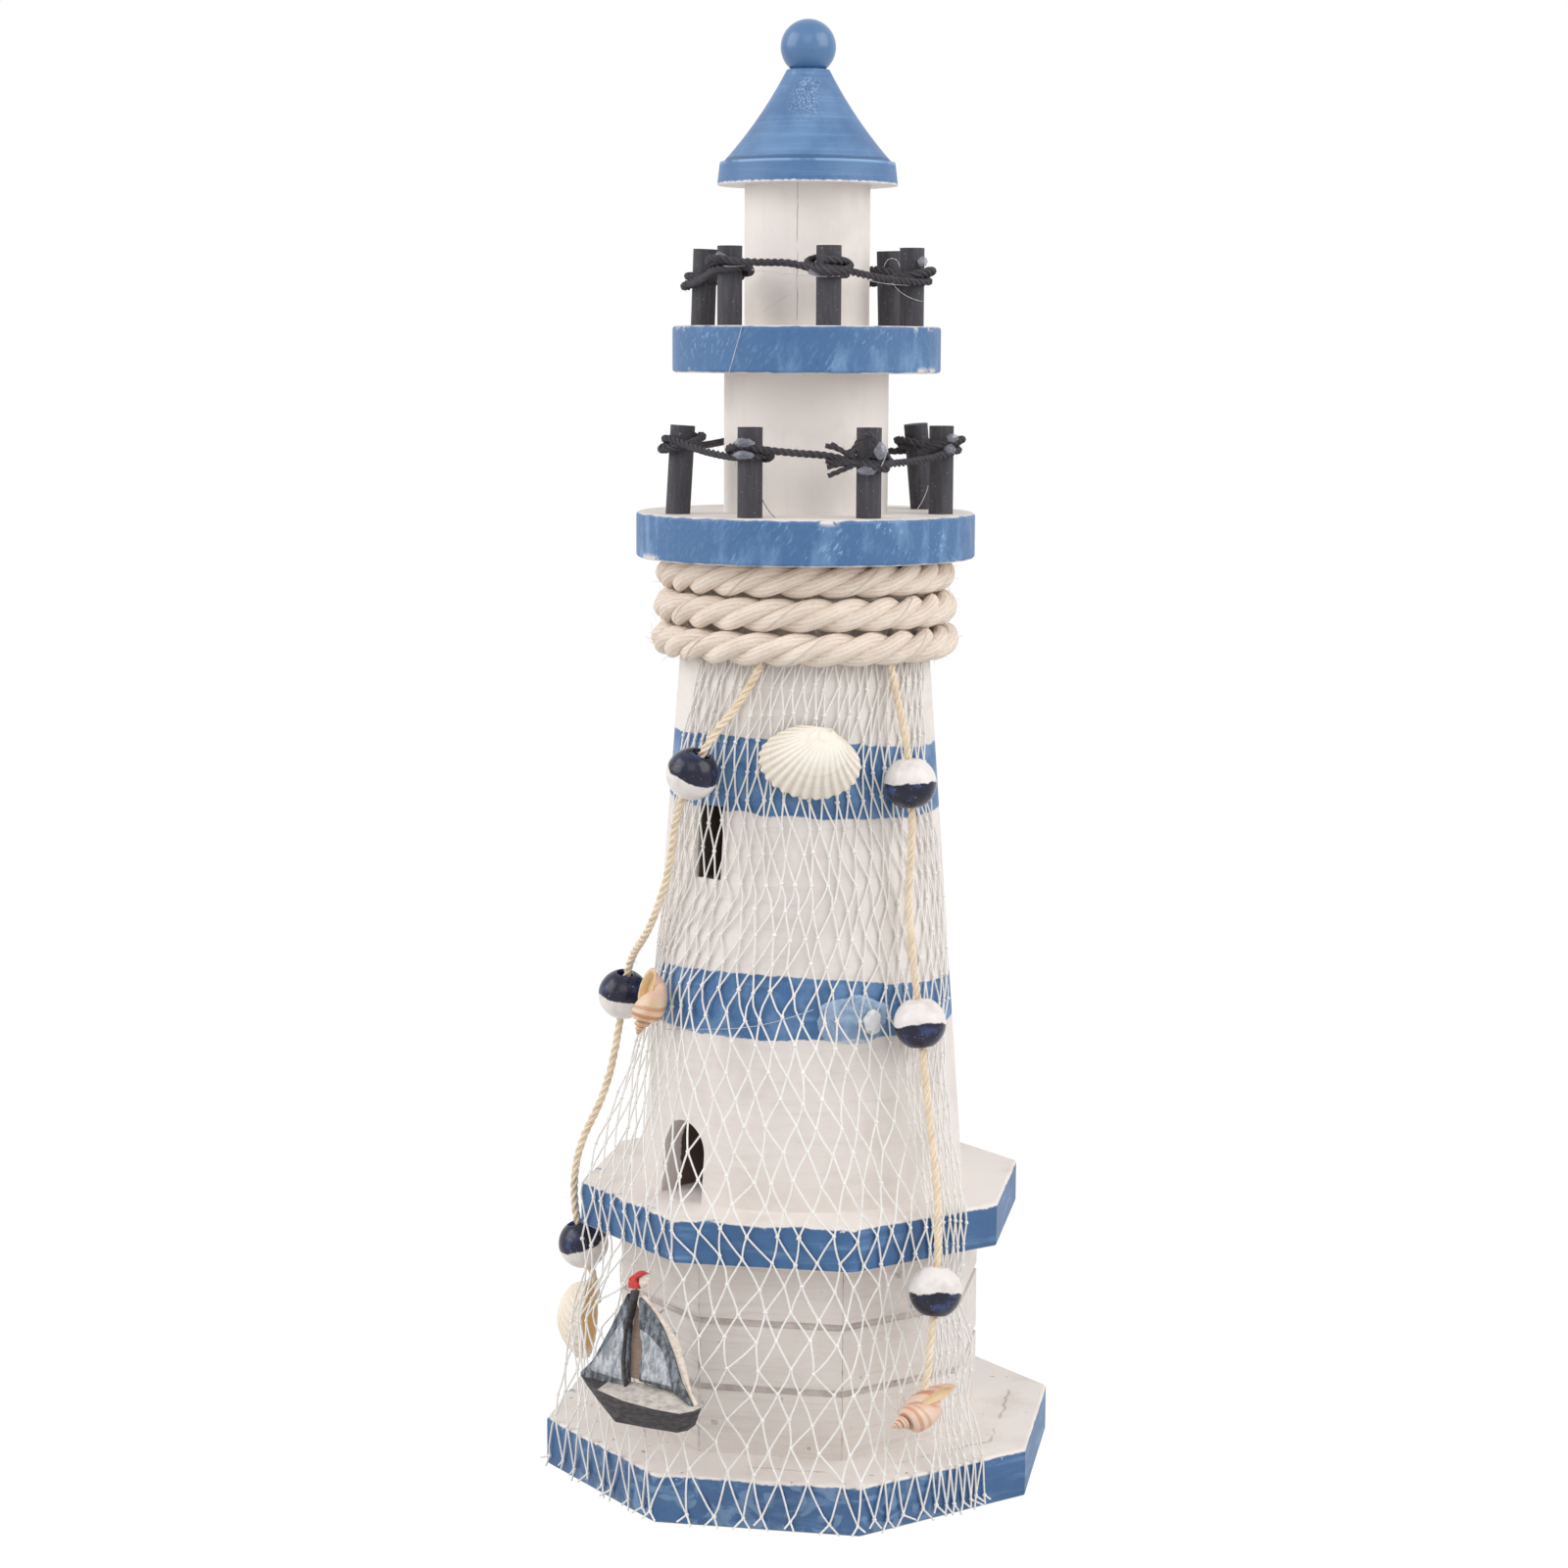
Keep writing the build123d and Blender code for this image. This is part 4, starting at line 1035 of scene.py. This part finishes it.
band_gap, shell_lift, skirt_height = 0.0003, 0.001, 0.046
rope_foot = tower_top - rope_wall_gap - rope_turns * rope_row_drop + (rope_row_drop - rope_thickness)
band_leave, band_top = deck_high + skirt_height, rope_foot - band_gap
tower_band = [(tower_radius(z) + band_gap, z) for z in (band_leave, band_top)]
tower_front = band_frame(0, *tower_band)
scallop_up = (rope_foot - scallop_drop - band_leave) / tower_front.col[1].z
scallop_place = set_on(tower_front, (scallop_side, scallop_up, shell_lift), scallop_turn)
scallop_chalk = fan_colour(
    "scallop_chalk", scallop_ribs,
    srgb(243, 236, 225), srgb(205, 188, 168), srgb(236, 220, 202), srgb(236, 222, 206),
)
scallop_form = (scallop_size, scallop_ribs, scallop_skew, False, scallop_place)
glued(fan_shell(*scallop_form, "scallop", scallop_chalk), "pale_shell", "scallop_shell")
left_route = [
    (-4.7, -31.3, 187.6), (-8.5, -32.5, 180.0), (-15.0, -35.7, 172.5), (-23.2, -32.1, 156.0),
    (-25.6, -26.2, 142.0), (-31.0, -23.6, 127.0), (-39.2, -10.5, 117.5), (-42.0, -7.5, 100.5),
    (-44.6, -9.5, 86.0), (-51.5, -11.5, 72.0), (-52.0, -12.6, 57.6), (-47.2, -11.4, 42.4),
    (-46.6, -10.2, 35.5),
]
cockle_back = Vector(left_route[-1]) * millimetre - Vector((cockle_inset, 0, cockle_hang))
cockle_axes = Matrix(((0, -1, 0), (0, 0, 1), (-1, 0, 0))).transposed().to_4x4()
cockle_place = Matrix.Translation(cockle_back) @ cockle_axes
cockle_chalk = fan_colour(
    "cockle_chalk", cockle_ribs,
    srgb(242, 232, 218), srgb(222, 202, 176), srgb(238, 220, 194), srgb(228, 182, 104),
)
cockle_form = (cockle_size, cockle_ribs, 0.0, True, cockle_place)
glued(fan_shell(*cockle_form, "cockle", cockle_chalk), "pale_shell", "left_cockle")

# Whelks: two small spiral shells, one glued on the gathered net and one at the right twine's end.
# Each is a tube that widens as it winds down to its open mouth, banded in peach and brown.
whelk_whorls, whelk_growth, whelk_steps, whelk_sides = 5.4, 0.47, 260, 24
whelk_suture, whelk_mouth_foot, whelk_lip_turn = 0.35, 0.44, 150.0


def whelk_shell(length, radius, place, name, material):
    rings, winds = [], []

    def eased(value):
        value = min(max(value, 0), 1)
        return value * value * (3 - 2 * value)

    def ring(wind, shrink=1.0, back=0.0):
        body = eased((wind - whelk_whorls + 1.5) / 0.9)
        mouth = eased((wind - whelk_whorls) / 0.35 + 1)
        size = math.exp(whelk_growth * (wind - whelk_whorls))
        spin = math.radians(whelk_lip_turn) + math.tau * (whelk_whorls - wind + back)
        out = Vector((math.cos(spin), 0, math.sin(spin)))
        low = length * (whelk_suture * size + (whelk_mouth_foot - whelk_suture) * mouth)
        high = length * size * (whelk_suture * 1.6 + (1 - whelk_suture * 1.6) * body)
        reach = radius * size * (0.92 + 0.08 * body + 0.2 * body * (1 - mouth))
        tall, wide = (high - low) / 2 * shrink, reach * (0.56 - 0.15 * mouth) * shrink
        middle = out * reach * 0.44 + Vector((0, (low + high) / 2 - length / 2, 0))
        loop = []
        for i in range(whelk_sides):
            a = math.tau * i / whelk_sides
            lift = tall * (math.sin(a) - 0.35 * body * (1 - mouth) * max(math.cos(a), 0) ** 2)
            loop.append(place @ (middle + out * wide * math.cos(a) + Vector((0, lift, 0))))
        rings.append(loop)
        winds.append(wind)

    for step in range(whelk_steps + 1):
        ring(whelk_whorls * step / whelk_steps)
    ring(whelk_whorls, 0.82)
    ring(whelk_whorls, 0.62, 0.10)
    inner = len(rings) - 2
    marks = {
        "wind": lambda r, i: winds[r], "lip": lambda r, i: float(r >= inner),
        "rise": lambda r, i: math.sin(math.tau * i / whelk_sides),
    }
    return finished(name, skinned(rings, marks), material)


def whelk_colour(name, pale, band, blush):
    paint, place, parts = new_finish(name)
    wind, lip, rise = (paint.mark(name) for name in ("wind", "lip", "rise"))
    mottle = paint.noise(place, 420.0, 3.0)
    fine = paint.noise(place, 1600.0, 3.0)
    waver = rise + (mottle - 0.5) * 0.2
    stripe = (waver + 0.32).size().smooth(0.2, 0.1).most((waver - 0.22).size().smooth(0.14, 0.07) * 0.7)
    seam = rise.smooth(-0.86, -0.96)
    flames = (paint.maths("SINE", wind * (math.tau * 3)) * 0.25 + mottle).smooth(0.4, 0.8)
    colour = (stripe * 0.85).mix((flames * 0.6).mix(pale, blush), band)
    colour = (rise.smooth(0.45, 0.9) * 0.5).mix(colour, srgb(222, 178, 164))
    colour = (seam * 0.6).mix(colour, srgb(150, 100, 76))
    colour = (lip * 0.9).mix(colour, srgb(232, 206, 162))
    return paint.coat(colour, 0.4 + fine * 0.15, fine + mottle, 0.0002, 0.5)


deck_fold, base_fold = 0.0484, 0.0560
upper_skirt = [(deck_fold, deck_high), tower_band[0]]
lower_skirt = [(base_fold, base_high), (deck_fold, deck_low)]
upper_skirt_drop = math.dist(*upper_skirt)
whelks = {
    "left": (
        (0.0160, 0.0042), band_frame(-facet_turn, *upper_skirt), (-0.003, upper_skirt_drop - 0.004), -10,
        (srgb(226, 202, 172), srgb(188, 122, 86), srgb(208, 164, 128)),
    ),
    "right": (
        (0.0190, 0.0044), band_frame(facet_turn, *lower_skirt), (-0.0086, 0.015), -76,
        (srgb(228, 202, 180), srgb(206, 148, 116), srgb(222, 178, 156)),
    ),
}
for side, (size, band, offset, degrees, colours) in whelks.items():
    whelk_place = set_on(band, (*offset, shell_lift + size[1]), degrees)
    whelk_bands = whelk_colour(f"{side}_whelk_bands", *colours)
    whelk = whelk_shell(*size, whelk_place, f"{side}_whelk_spiral", whelk_bands)
    glued(whelk, "banded_shell", f"{side}_whelk")

# Twines: two lengths of natural jute, glued under the rope and hung over the net and the deck's edge.
# Each carries three beads; the left one ends in the cockle and the right one at the whelk.
root_rises = (0, 0.0015, 0.003)
right_route = [
    (23.1, -21.3, 187.6), (24.8, -22.2, 180.0), (27.3, -24.8, 171.5), (29.1, -25.8, 153.3),
    (27.4, -23.2, 136.0), (30.3, -27.8, 118.0), (32.5, -30.0, 100.6), (34.4, -31.8, 87.0),
    (36.9, -36.6, 72.5), (37.6, -40.8, 61.0), (37.2, -44.8, 44.0), (36.0, -47.6, 31.6),
]
jute = cord_finish("jute_twine", srgb(250, 235, 212), srgb(222, 196, 162), 3.0, 70.0)
twine_sizes = {
    "Strands": 3, "Sides": 8, "Strand Circle": 0.00044, "Strand Radius": 0.00050, "Lay": 0.0062,
    "Step": 0.0005, "Fibres": 260000.0, "Fibre Length": 0.0018, "Finish": jute,
}
for side, points, length, end_piece in (
    ("left", left_route, 0.1705, "cockle"), ("right", right_route, 0.1607, "right_whelk_spiral"),
):
    points = [Vector(point) * millimetre for point in points]
    path = route(f"{side}_twine_path", points, resolution=16)
    line = bpy.data.meshes.new_from_object(path)
    twine = worked(path, laid_cord, twine_sizes, f"{side}_jute")
    glued(twine, "jute_twine", f"{side}_twine")
    root_points = [points[0] + Vector((0, 0, rise)) for rise in root_rises]
    corded(f"{side}_jute_root", [root_points], twine_sizes, "jute_twine")

# Sailboat: a small boat cast in resin with a flat back, glued on the net's fold at the front left.
# Dark grey hull with a pale deck, brushed silver sails outlined dark, a mast and a red pennant, and a brown
# sheet of painted shade in the gap behind the mast.
hull_height, boat_side, boat_foot, boat_turn = 0.0085, -0.005, 0.011, -5
net_thickness, boat_gap = 0.0007, 0.0003
cast_edge, hull_edge = 0.0003, 0.0004
deck_facing, deck_back = 0.6, -0.004
corner_share = math.cos(math.radians(facet_turn / 2))
boat_offset = (boat_side, boat_foot + hull_height, net_thickness / corner_share + boat_gap)
boat_place = set_on(band_frame(-facet_turn / 2, *lower_skirt, corner_share), boat_offset, boat_turn)


def cast_paint(name, base, streak, roughness, stroke=(500.0, 500.0, 1600.0)):
    paint, place, parts = new_finish(name)
    lines = paint.streaks(place, stroke, 4.0)
    fine = paint.noise(place, 1500.0, 3.0)
    colour = (lines * 0.8 + fine * 0.3).smooth(0.4, 0.75).mix(base, streak)
    return paint.coat(colour, roughness + fine * 0.15, lines + fine * 0.5, 0.00025)


def cast(name, rings, material, edge):
    """Part of the casting, with flat sides and rounded edges."""
    piece = finished(name, skinned(rings), material)
    piece.data.shade_flat()
    soften = piece.modifiers.new("soften", "BEVEL")
    soften.width, soften.segments, soften.limit_method = edge, 2, "ANGLE"
    return piece


sail_stroke = (1100.0, 1100.0, 340.0)
dark_cast = cast_paint("hull_grey", srgb(42, 39, 40), srgb(76, 72, 72), 0.55)
slate_cast = cast_paint("rigging_slate", srgb(48, 53, 61), srgb(138, 144, 151), 0.45, sail_stroke)
silver_cast = cast_paint("sail_silver", srgb(122, 128, 136), srgb(204, 206, 210), 0.45, sail_stroke)
pale_cast = cast_paint("deck_cream", srgb(206, 198, 190), srgb(160, 152, 146), 0.6)
cream_cast = cast_paint("casting_cream", srgb(232, 220, 208), srgb(206, 192, 178), 0.6)
# The brown of the painted shade that fills the gap between the mast and the mainsail.
gap_shade_cast = cast_paint("painted_gap_shade", srgb(150, 130, 114), srgb(134, 114, 98), 0.6)
red_cast = cast_paint("pennant_red", srgb(186, 34, 34), srgb(206, 70, 66), 0.45)
hull_stations = [
    (-15.7, -1.6, (-15.7, -2.0, 1.0), (-15.6, -2.7, 0.6)),
    (-12.7, -1.6, (-12.7, -2.9, 3.0), (-12.0, -4.1, 2.2)),
    (-7.3, -0.9, (-7.3, -3.1, 5.5), (-7.9, -5.7, 4.0)),
    (0.8, 0.2, (0.8, -3.2, 7.0), (-1.6, -8.9, 5.0)),
    (9.2, 0.9, (9.2, -2.8, 7.2), (6.9, -7.9, 5.0)),
    (14.9, -0.6, (14.9, -2.4, 5.6), (14.4, -7.0, 4.2)),
    (17.0, -0.9, (17.0, -1.4, 3.0), (16.2, -5.2, 2.6)),
]
sections = []
for x, top, rim, keel in hull_stations:
    section = ((x, top, 0.0), rim, keel, (keel[0], keel[1], 0.0))
    sections.append([boat_place @ (Vector(point) * millimetre) for point in section])
hull = cast("boat_hull", sections, dark_cast, hull_edge)
hull.data.materials.append(pale_cast)
unplace = boat_place.inverted()
for face in hull.data.polygons:
    middle, facing = unplace @ face.center, unplace.to_3x3() @ face.normal
    face.material_index = int(facing.y > deck_facing and middle.x > deck_back)
glued(hull, "boat_resin", "sailboat_charm")
leech = [(-3.2, 18.6), (-0.1, 17.3), (4.3, 13.5), (8.2, 8.6), (11.5, 3.3), (15.6, -1.2)]
boat_outlines = {
    "boat_jib_edge": (0.0, 1.9, slate_cast, [
        (-6.3, 18.8), (-9.1, 10.6), (-12.4, 2.0), (-15.3, -1.7), (-13.9, -2.4), (-2.1, -1.6), (-3.9, 9.0),
        (-5.1, 15.7),
    ]),
    "boat_jib_cloth": (1.0, 2.2, silver_cast, [
        (-6.0, 13.1), (-8.8, 7.7), (-12.8, 0.4), (-11.9, -0.4), (-3.5, -0.3), (-4.6, 4.1), (-4.9, 8.7),
    ]),
    "boat_mast": (0.4, 2.5, dark_cast, [
        (-5.3, 19.8), (-5.0, 9.5), (-4.5, 3.8), (-2.6, -1.5), (-1.9, -1.5), (-3.7, 3.8), (-4.4, 9.5),
        (-3.9, 19.8),
    ]),
    # Painted shade: a brown sheet where the gap between the mast and the mainsail shows the shaded net
    # behind the boat.
    "boat_gap_shade_sheet": (0.0, 0.6, gap_shade_cast, [
        (-4.4, 17.0), (-4.2, 9.0), (-3.2, 0.6), (0.2, 0.6), (-0.4, 7.2), (-3.0, 14.6),
    ]),
    "boat_main_edge": (0.0, 1.9, slate_cast, [
        *leech, (9.5, 0.9), (0.6, 0.6), (-0.1, 7.6), (-2.3, 14.1),
    ]),
    "boat_main_cloth": (1.0, 2.2, silver_cast, [
        (-1.4, 12.0), (1.3, 11.2), (5.3, 9.0), (8.1, 5.0), (9.5, 1.7), (5.5, 1.5), (1.2, 1.2), (0.4, 7.4),
    ]),
    "boat_casting_side": (0.0, 1.3, cream_cast, [
        (-2.6, 19.2), (2.9, 15.6), (8.2, 11.6), (11.3, 6.2), (13.8, 1.6), (16.2, -0.8), *leech[::-1],
    ]),
    "boat_pennant": (0.2, 2.0, red_cast, [
        (-6.4, 19.9), (-6.7, 22.1), (-4.3, 24.3), (-2.3, 24.1), (-3.8, 23.2), (-4.9, 22.2), (-4.0, 21.3),
        (-3.9, 20.1),
    ]),
    "boat_pennant_core": (0.0, 1.3, cream_cast, [
        (-4.4, 22.4), (-3.0, 23.5), (-1.9, 23.0), (-2.2, 21.6), (-3.4, 20.4), (-4.2, 21.2),
    ]),
}
for name, (low, high, material, outline) in boat_outlines.items():
    rings = [[boat_place @ (Vector((x, y, z)) * millimetre) for x, y in outline] for z in (low, high)]
    glued(cast(name, rings, material, cast_edge), "boat_resin")

# Glue: hot glue left where the cords, the net and the trim were fixed. It set in cloudy lumps at the
# knots and in a film under the right bead, and it was drawn out in hair-thin strings as the gun came off.
dab_rings, dab_sides, dab_lumps = 16, 32, 0.22
film_height, drop_height, drop_seat, drop_out = 0.1098, 0.1090, 0.1085, 0.0012


def set_glue(name, tint, opacity):
    paint, place, parts = new_finish(name)
    cloud = paint.noise(place, 500.0, 3.0)
    clear = cloud.smooth(0.25, 0.75) * 0.3 + (opacity - 0.15)
    return paint.coat(tint, 0.18, cloud, 0.0004, 0.5, Alpha=clear)


def dab(name, spot, sizes, material, slot):
    """A lump of glue, bent round the axis; sizes go sideways, up and out."""
    azimuth, radius, z = spot
    wide, tall, thick = (size * millimetre for size in sizes)
    rings = []
    for i in range(dab_rings + 1):
        loop = []
        for j in range(dab_sides):
            rise, turn = math.pi * i / dab_rings, math.tau * j / dab_sides
            ball = Vector((math.cos(turn), math.sin(turn), 0)) * math.sin(rise)
            ball.z = math.cos(rise)
            ball *= 1 + dab_lumps * noise.noise(ball * 1.9 + Vector((azimuth, z / millimetre, 0)))
            aside = math.degrees(ball.x * wide / radius)
            loop.append(at(azimuth + aside, radius + ball.z * thick, z + ball.y * tall))
        rings.append(loop)
    glued(finished(name, skinned(rings), material), slot)


knot_glue = set_glue("knot_glue", srgb(152, 154, 166), 0.48)
film_glue = set_glue("film_glue", srgb(190, 214, 238), 0.33)
drop_glue = set_glue("drop_glue", srgb(226, 226, 228), 0.85)
knot_dabs = [
    (-11.9, 36.2, 237.0, 2.3, 1.0, 1.0), (-11.8, 36.4, 234.4, 2.4, 0.9, 1.0),
    (36.0, 36.8, 235.4, 1.5, 1.8, 1.0), (31.8, 35.6, 231.1, 2.3, 1.0, 1.0),
    (78.1, 34.5, 235.2, 1.6, 1.2, 1.2), (78.5, 35.0, 237.7, 1.6, 1.0, 1.2),
    (14.6, 27.4, 273.9, 2.2, 1.0, 0.9), (76.2, 28.0, 276.5, 1.7, 1.1, 1.0),
    (-33.0, 28.2, 276.9, 1.8, 1.2, 0.9),
]
for number, (azimuth, radius, z, *sizes) in enumerate(knot_dabs, 1):
    spot = (azimuth, radius * millimetre, z * millimetre)
    dab(f"knot_glue_{number}", spot, sizes, knot_glue, "rail_twine")
film_spot = (29.0, tower_radius(film_height) + net_lift, film_height)
drop_spot = (35.7, tower_radius(drop_seat) + drop_out, drop_height)
dab("net_glue_film", film_spot, (8.4, 5.7, 0.6), film_glue, "net_cotton")
dab("net_glue_drop", drop_spot, (2.1, 2.9, 0.9), drop_glue, "net_cotton")
glue_strings = [
    [(26.4, -8.1, 232.8), (29.5, -7.6, 233.7), (33.0, -6.9, 234.8)],
    [(29.0, -7.2, 227.1), (28.5, -7.3, 224.5), (26.7, -7.6, 221.9)],
    [(22.9, -29.8, 235.1), (22.5, -29.9, 233.4), (21.8, -30.0, 232.1)],
    [(-14.0, -25.2, 275.1), (-9.7, -24.5, 274.6), (-6.1, -23.8, 276.5)],
    [(-7.4, -27.6, 274.2), (1.8, -27.9, 273.2), (7.0, -27.6, 272.7), (11.9, -26.4, 272.9)],
    [(18.9, -8.9, 275.4), (19.3, -8.9, 277.3), (22.0, -8.4, 277.1), (22.3, -8.3, 275.4)],
    [(20.1, -8.9, 273.0), (22.0, -8.5, 268.8), (27.3, -7.6, 267.8)],
    [(15.1, -9.8, 272.5), (18.7, -9.2, 271.4), (24.5, -8.1, 271.3)],
    [(-6.1, -21.6, 265.3), (-3.4, -22.2, 267.2), (-0.5, -22.5, 268.8)],
    [(-9.2, -29.0, 262.2), (-10.4, -29.6, 257.4), (-12.5, -28.4, 251.0)],
    [
        (-28.5, -21.8, 103.9), (-17.8, -31.4, 106.3), (-6.9, -35.5, 107.8), (2.0, -35.8, 110.1),
        (8.4, -34.6, 112.5),
    ],
]
loose_hair = [[(-4.2, -32.0, 225.1), (-2.9, -31.8, 222.1), (-1.2, -31.5, 220.7)]]
thin = {"Strand Circle": 0.00004, "Strand Radius": 0.00006, "Sides": 4, "Fibres": 0.0, "Step": 0.0008}
hair_sizes = {**rail_sizes, **thin}
string_sizes = {**hair_sizes, "Finish": drop_glue}
corded("glue_strings", in_metres(glue_strings), string_sizes, "rail_twine")
corded("loose_hair", in_metres(loose_hair), hair_sizes, "rail_twine")

# Studio: a plain white sweep with a large soft lamp at each side and a weak one in front.
# The camera stands where the photographer did, a little above the lower gallery.
studio_white, paper_grey = (1.0, 1.0, 1.0, 1.0), (0.72, 0.72, 0.72, 1.0)
floor_half, floor_drop = 6.0, -0.0002
lamps = {
    "right": ((1.05, -0.25, 0.80), 1.0, 8.6), "left": ((-1.0, -0.42, 0.78), 1.0, 8.2),
    "front": ((0.15, -1.1, 1.0), 0.8, 2.6),
}
lamps_aim = Vector((0, 0, 0.16))
camera_spot, camera_gaze = (0.1265, -0.7220, 0.2567), Vector((-0.1772, 0.9751, -0.1334))
camera_roll, camera_lens, camera_sensor, nearest = 0.28, 73.81, 36.0, 0.01


def seen_rays(paint):
    """1 where the camera, a reflection or clear glue looks at it, and 0 for plain light."""
    kinds = ("Camera", "Glossy", "Transmission")
    rays = [paint.add("ShaderNodeLightPath", output=f"Is {kind} Ray") for kind in kinds]
    return rays[0].most(rays[1]).most(rays[2])


world = bpy.data.worlds.new("studio")
bpy.context.scene.world = world
world.use_nodes = True
sky = Value(world.node_tree)
sky_strength = seen_rays(sky) * 0.45 + 0.55
sky.fill(world.node_tree.nodes["Background"], {"Color": studio_white, "Strength": sky_strength})

floor_paper = bpy.data.materials.new("floor_paper")
floor_paper.use_nodes = True
paper = Value(floor_paper.node_tree)
shader = floor_paper.node_tree.nodes["Principled BSDF"]
paper.fill(shader, {"Base Color": paper_grey, "Roughness": 0.9, "Specular IOR Level": 0.0})
glow = paper.add("ShaderNodeEmission", {}, {"Color": studio_white, "Strength": 1.09})
surface = Value(floor_paper.node_tree, shader.outputs[0])
blended = paper.add("ShaderNodeMixShader", {}, {0: seen_rays(paper) * 0.88, 1: surface, 2: glow})
paper.fill(floor_paper.node_tree.nodes["Material Output"], {"Surface": blended})
form = bmesh.new()
bmesh.ops.create_grid(form, x_segments=1, y_segments=1, size=floor_half)
floor = finished("floor", form, floor_paper)
floor.location.z = floor_drop

for name, (spot, size, power) in lamps.items():
    lamp = bpy.data.lights.new(name, "AREA")
    lamp.energy, lamp.size = power, size
    holder = placed(name, lamp)
    holder.location = spot
    holder.rotation_euler = (lamps_aim - Vector(spot)).to_track_quat("-Z", "Y").to_euler()

lens = bpy.data.cameras.new("camera")
lens.lens, lens.sensor_width, lens.clip_start = camera_lens, camera_sensor, nearest
camera = placed("camera", lens)
gaze = camera_gaze.normalized()
right = gaze.cross(Vector((0, 0, 1))).normalized()
level = Matrix((right, right.cross(gaze), -gaze)).transposed()
tilt = Matrix.Rotation(math.radians(camera_roll), 3, "Z")
camera.matrix_world = Matrix.Translation(camera_spot) @ (level @ tilt).to_4x4()
bpy.context.scene.camera = camera
bpy.context.scene.view_settings.view_transform = "Standard"
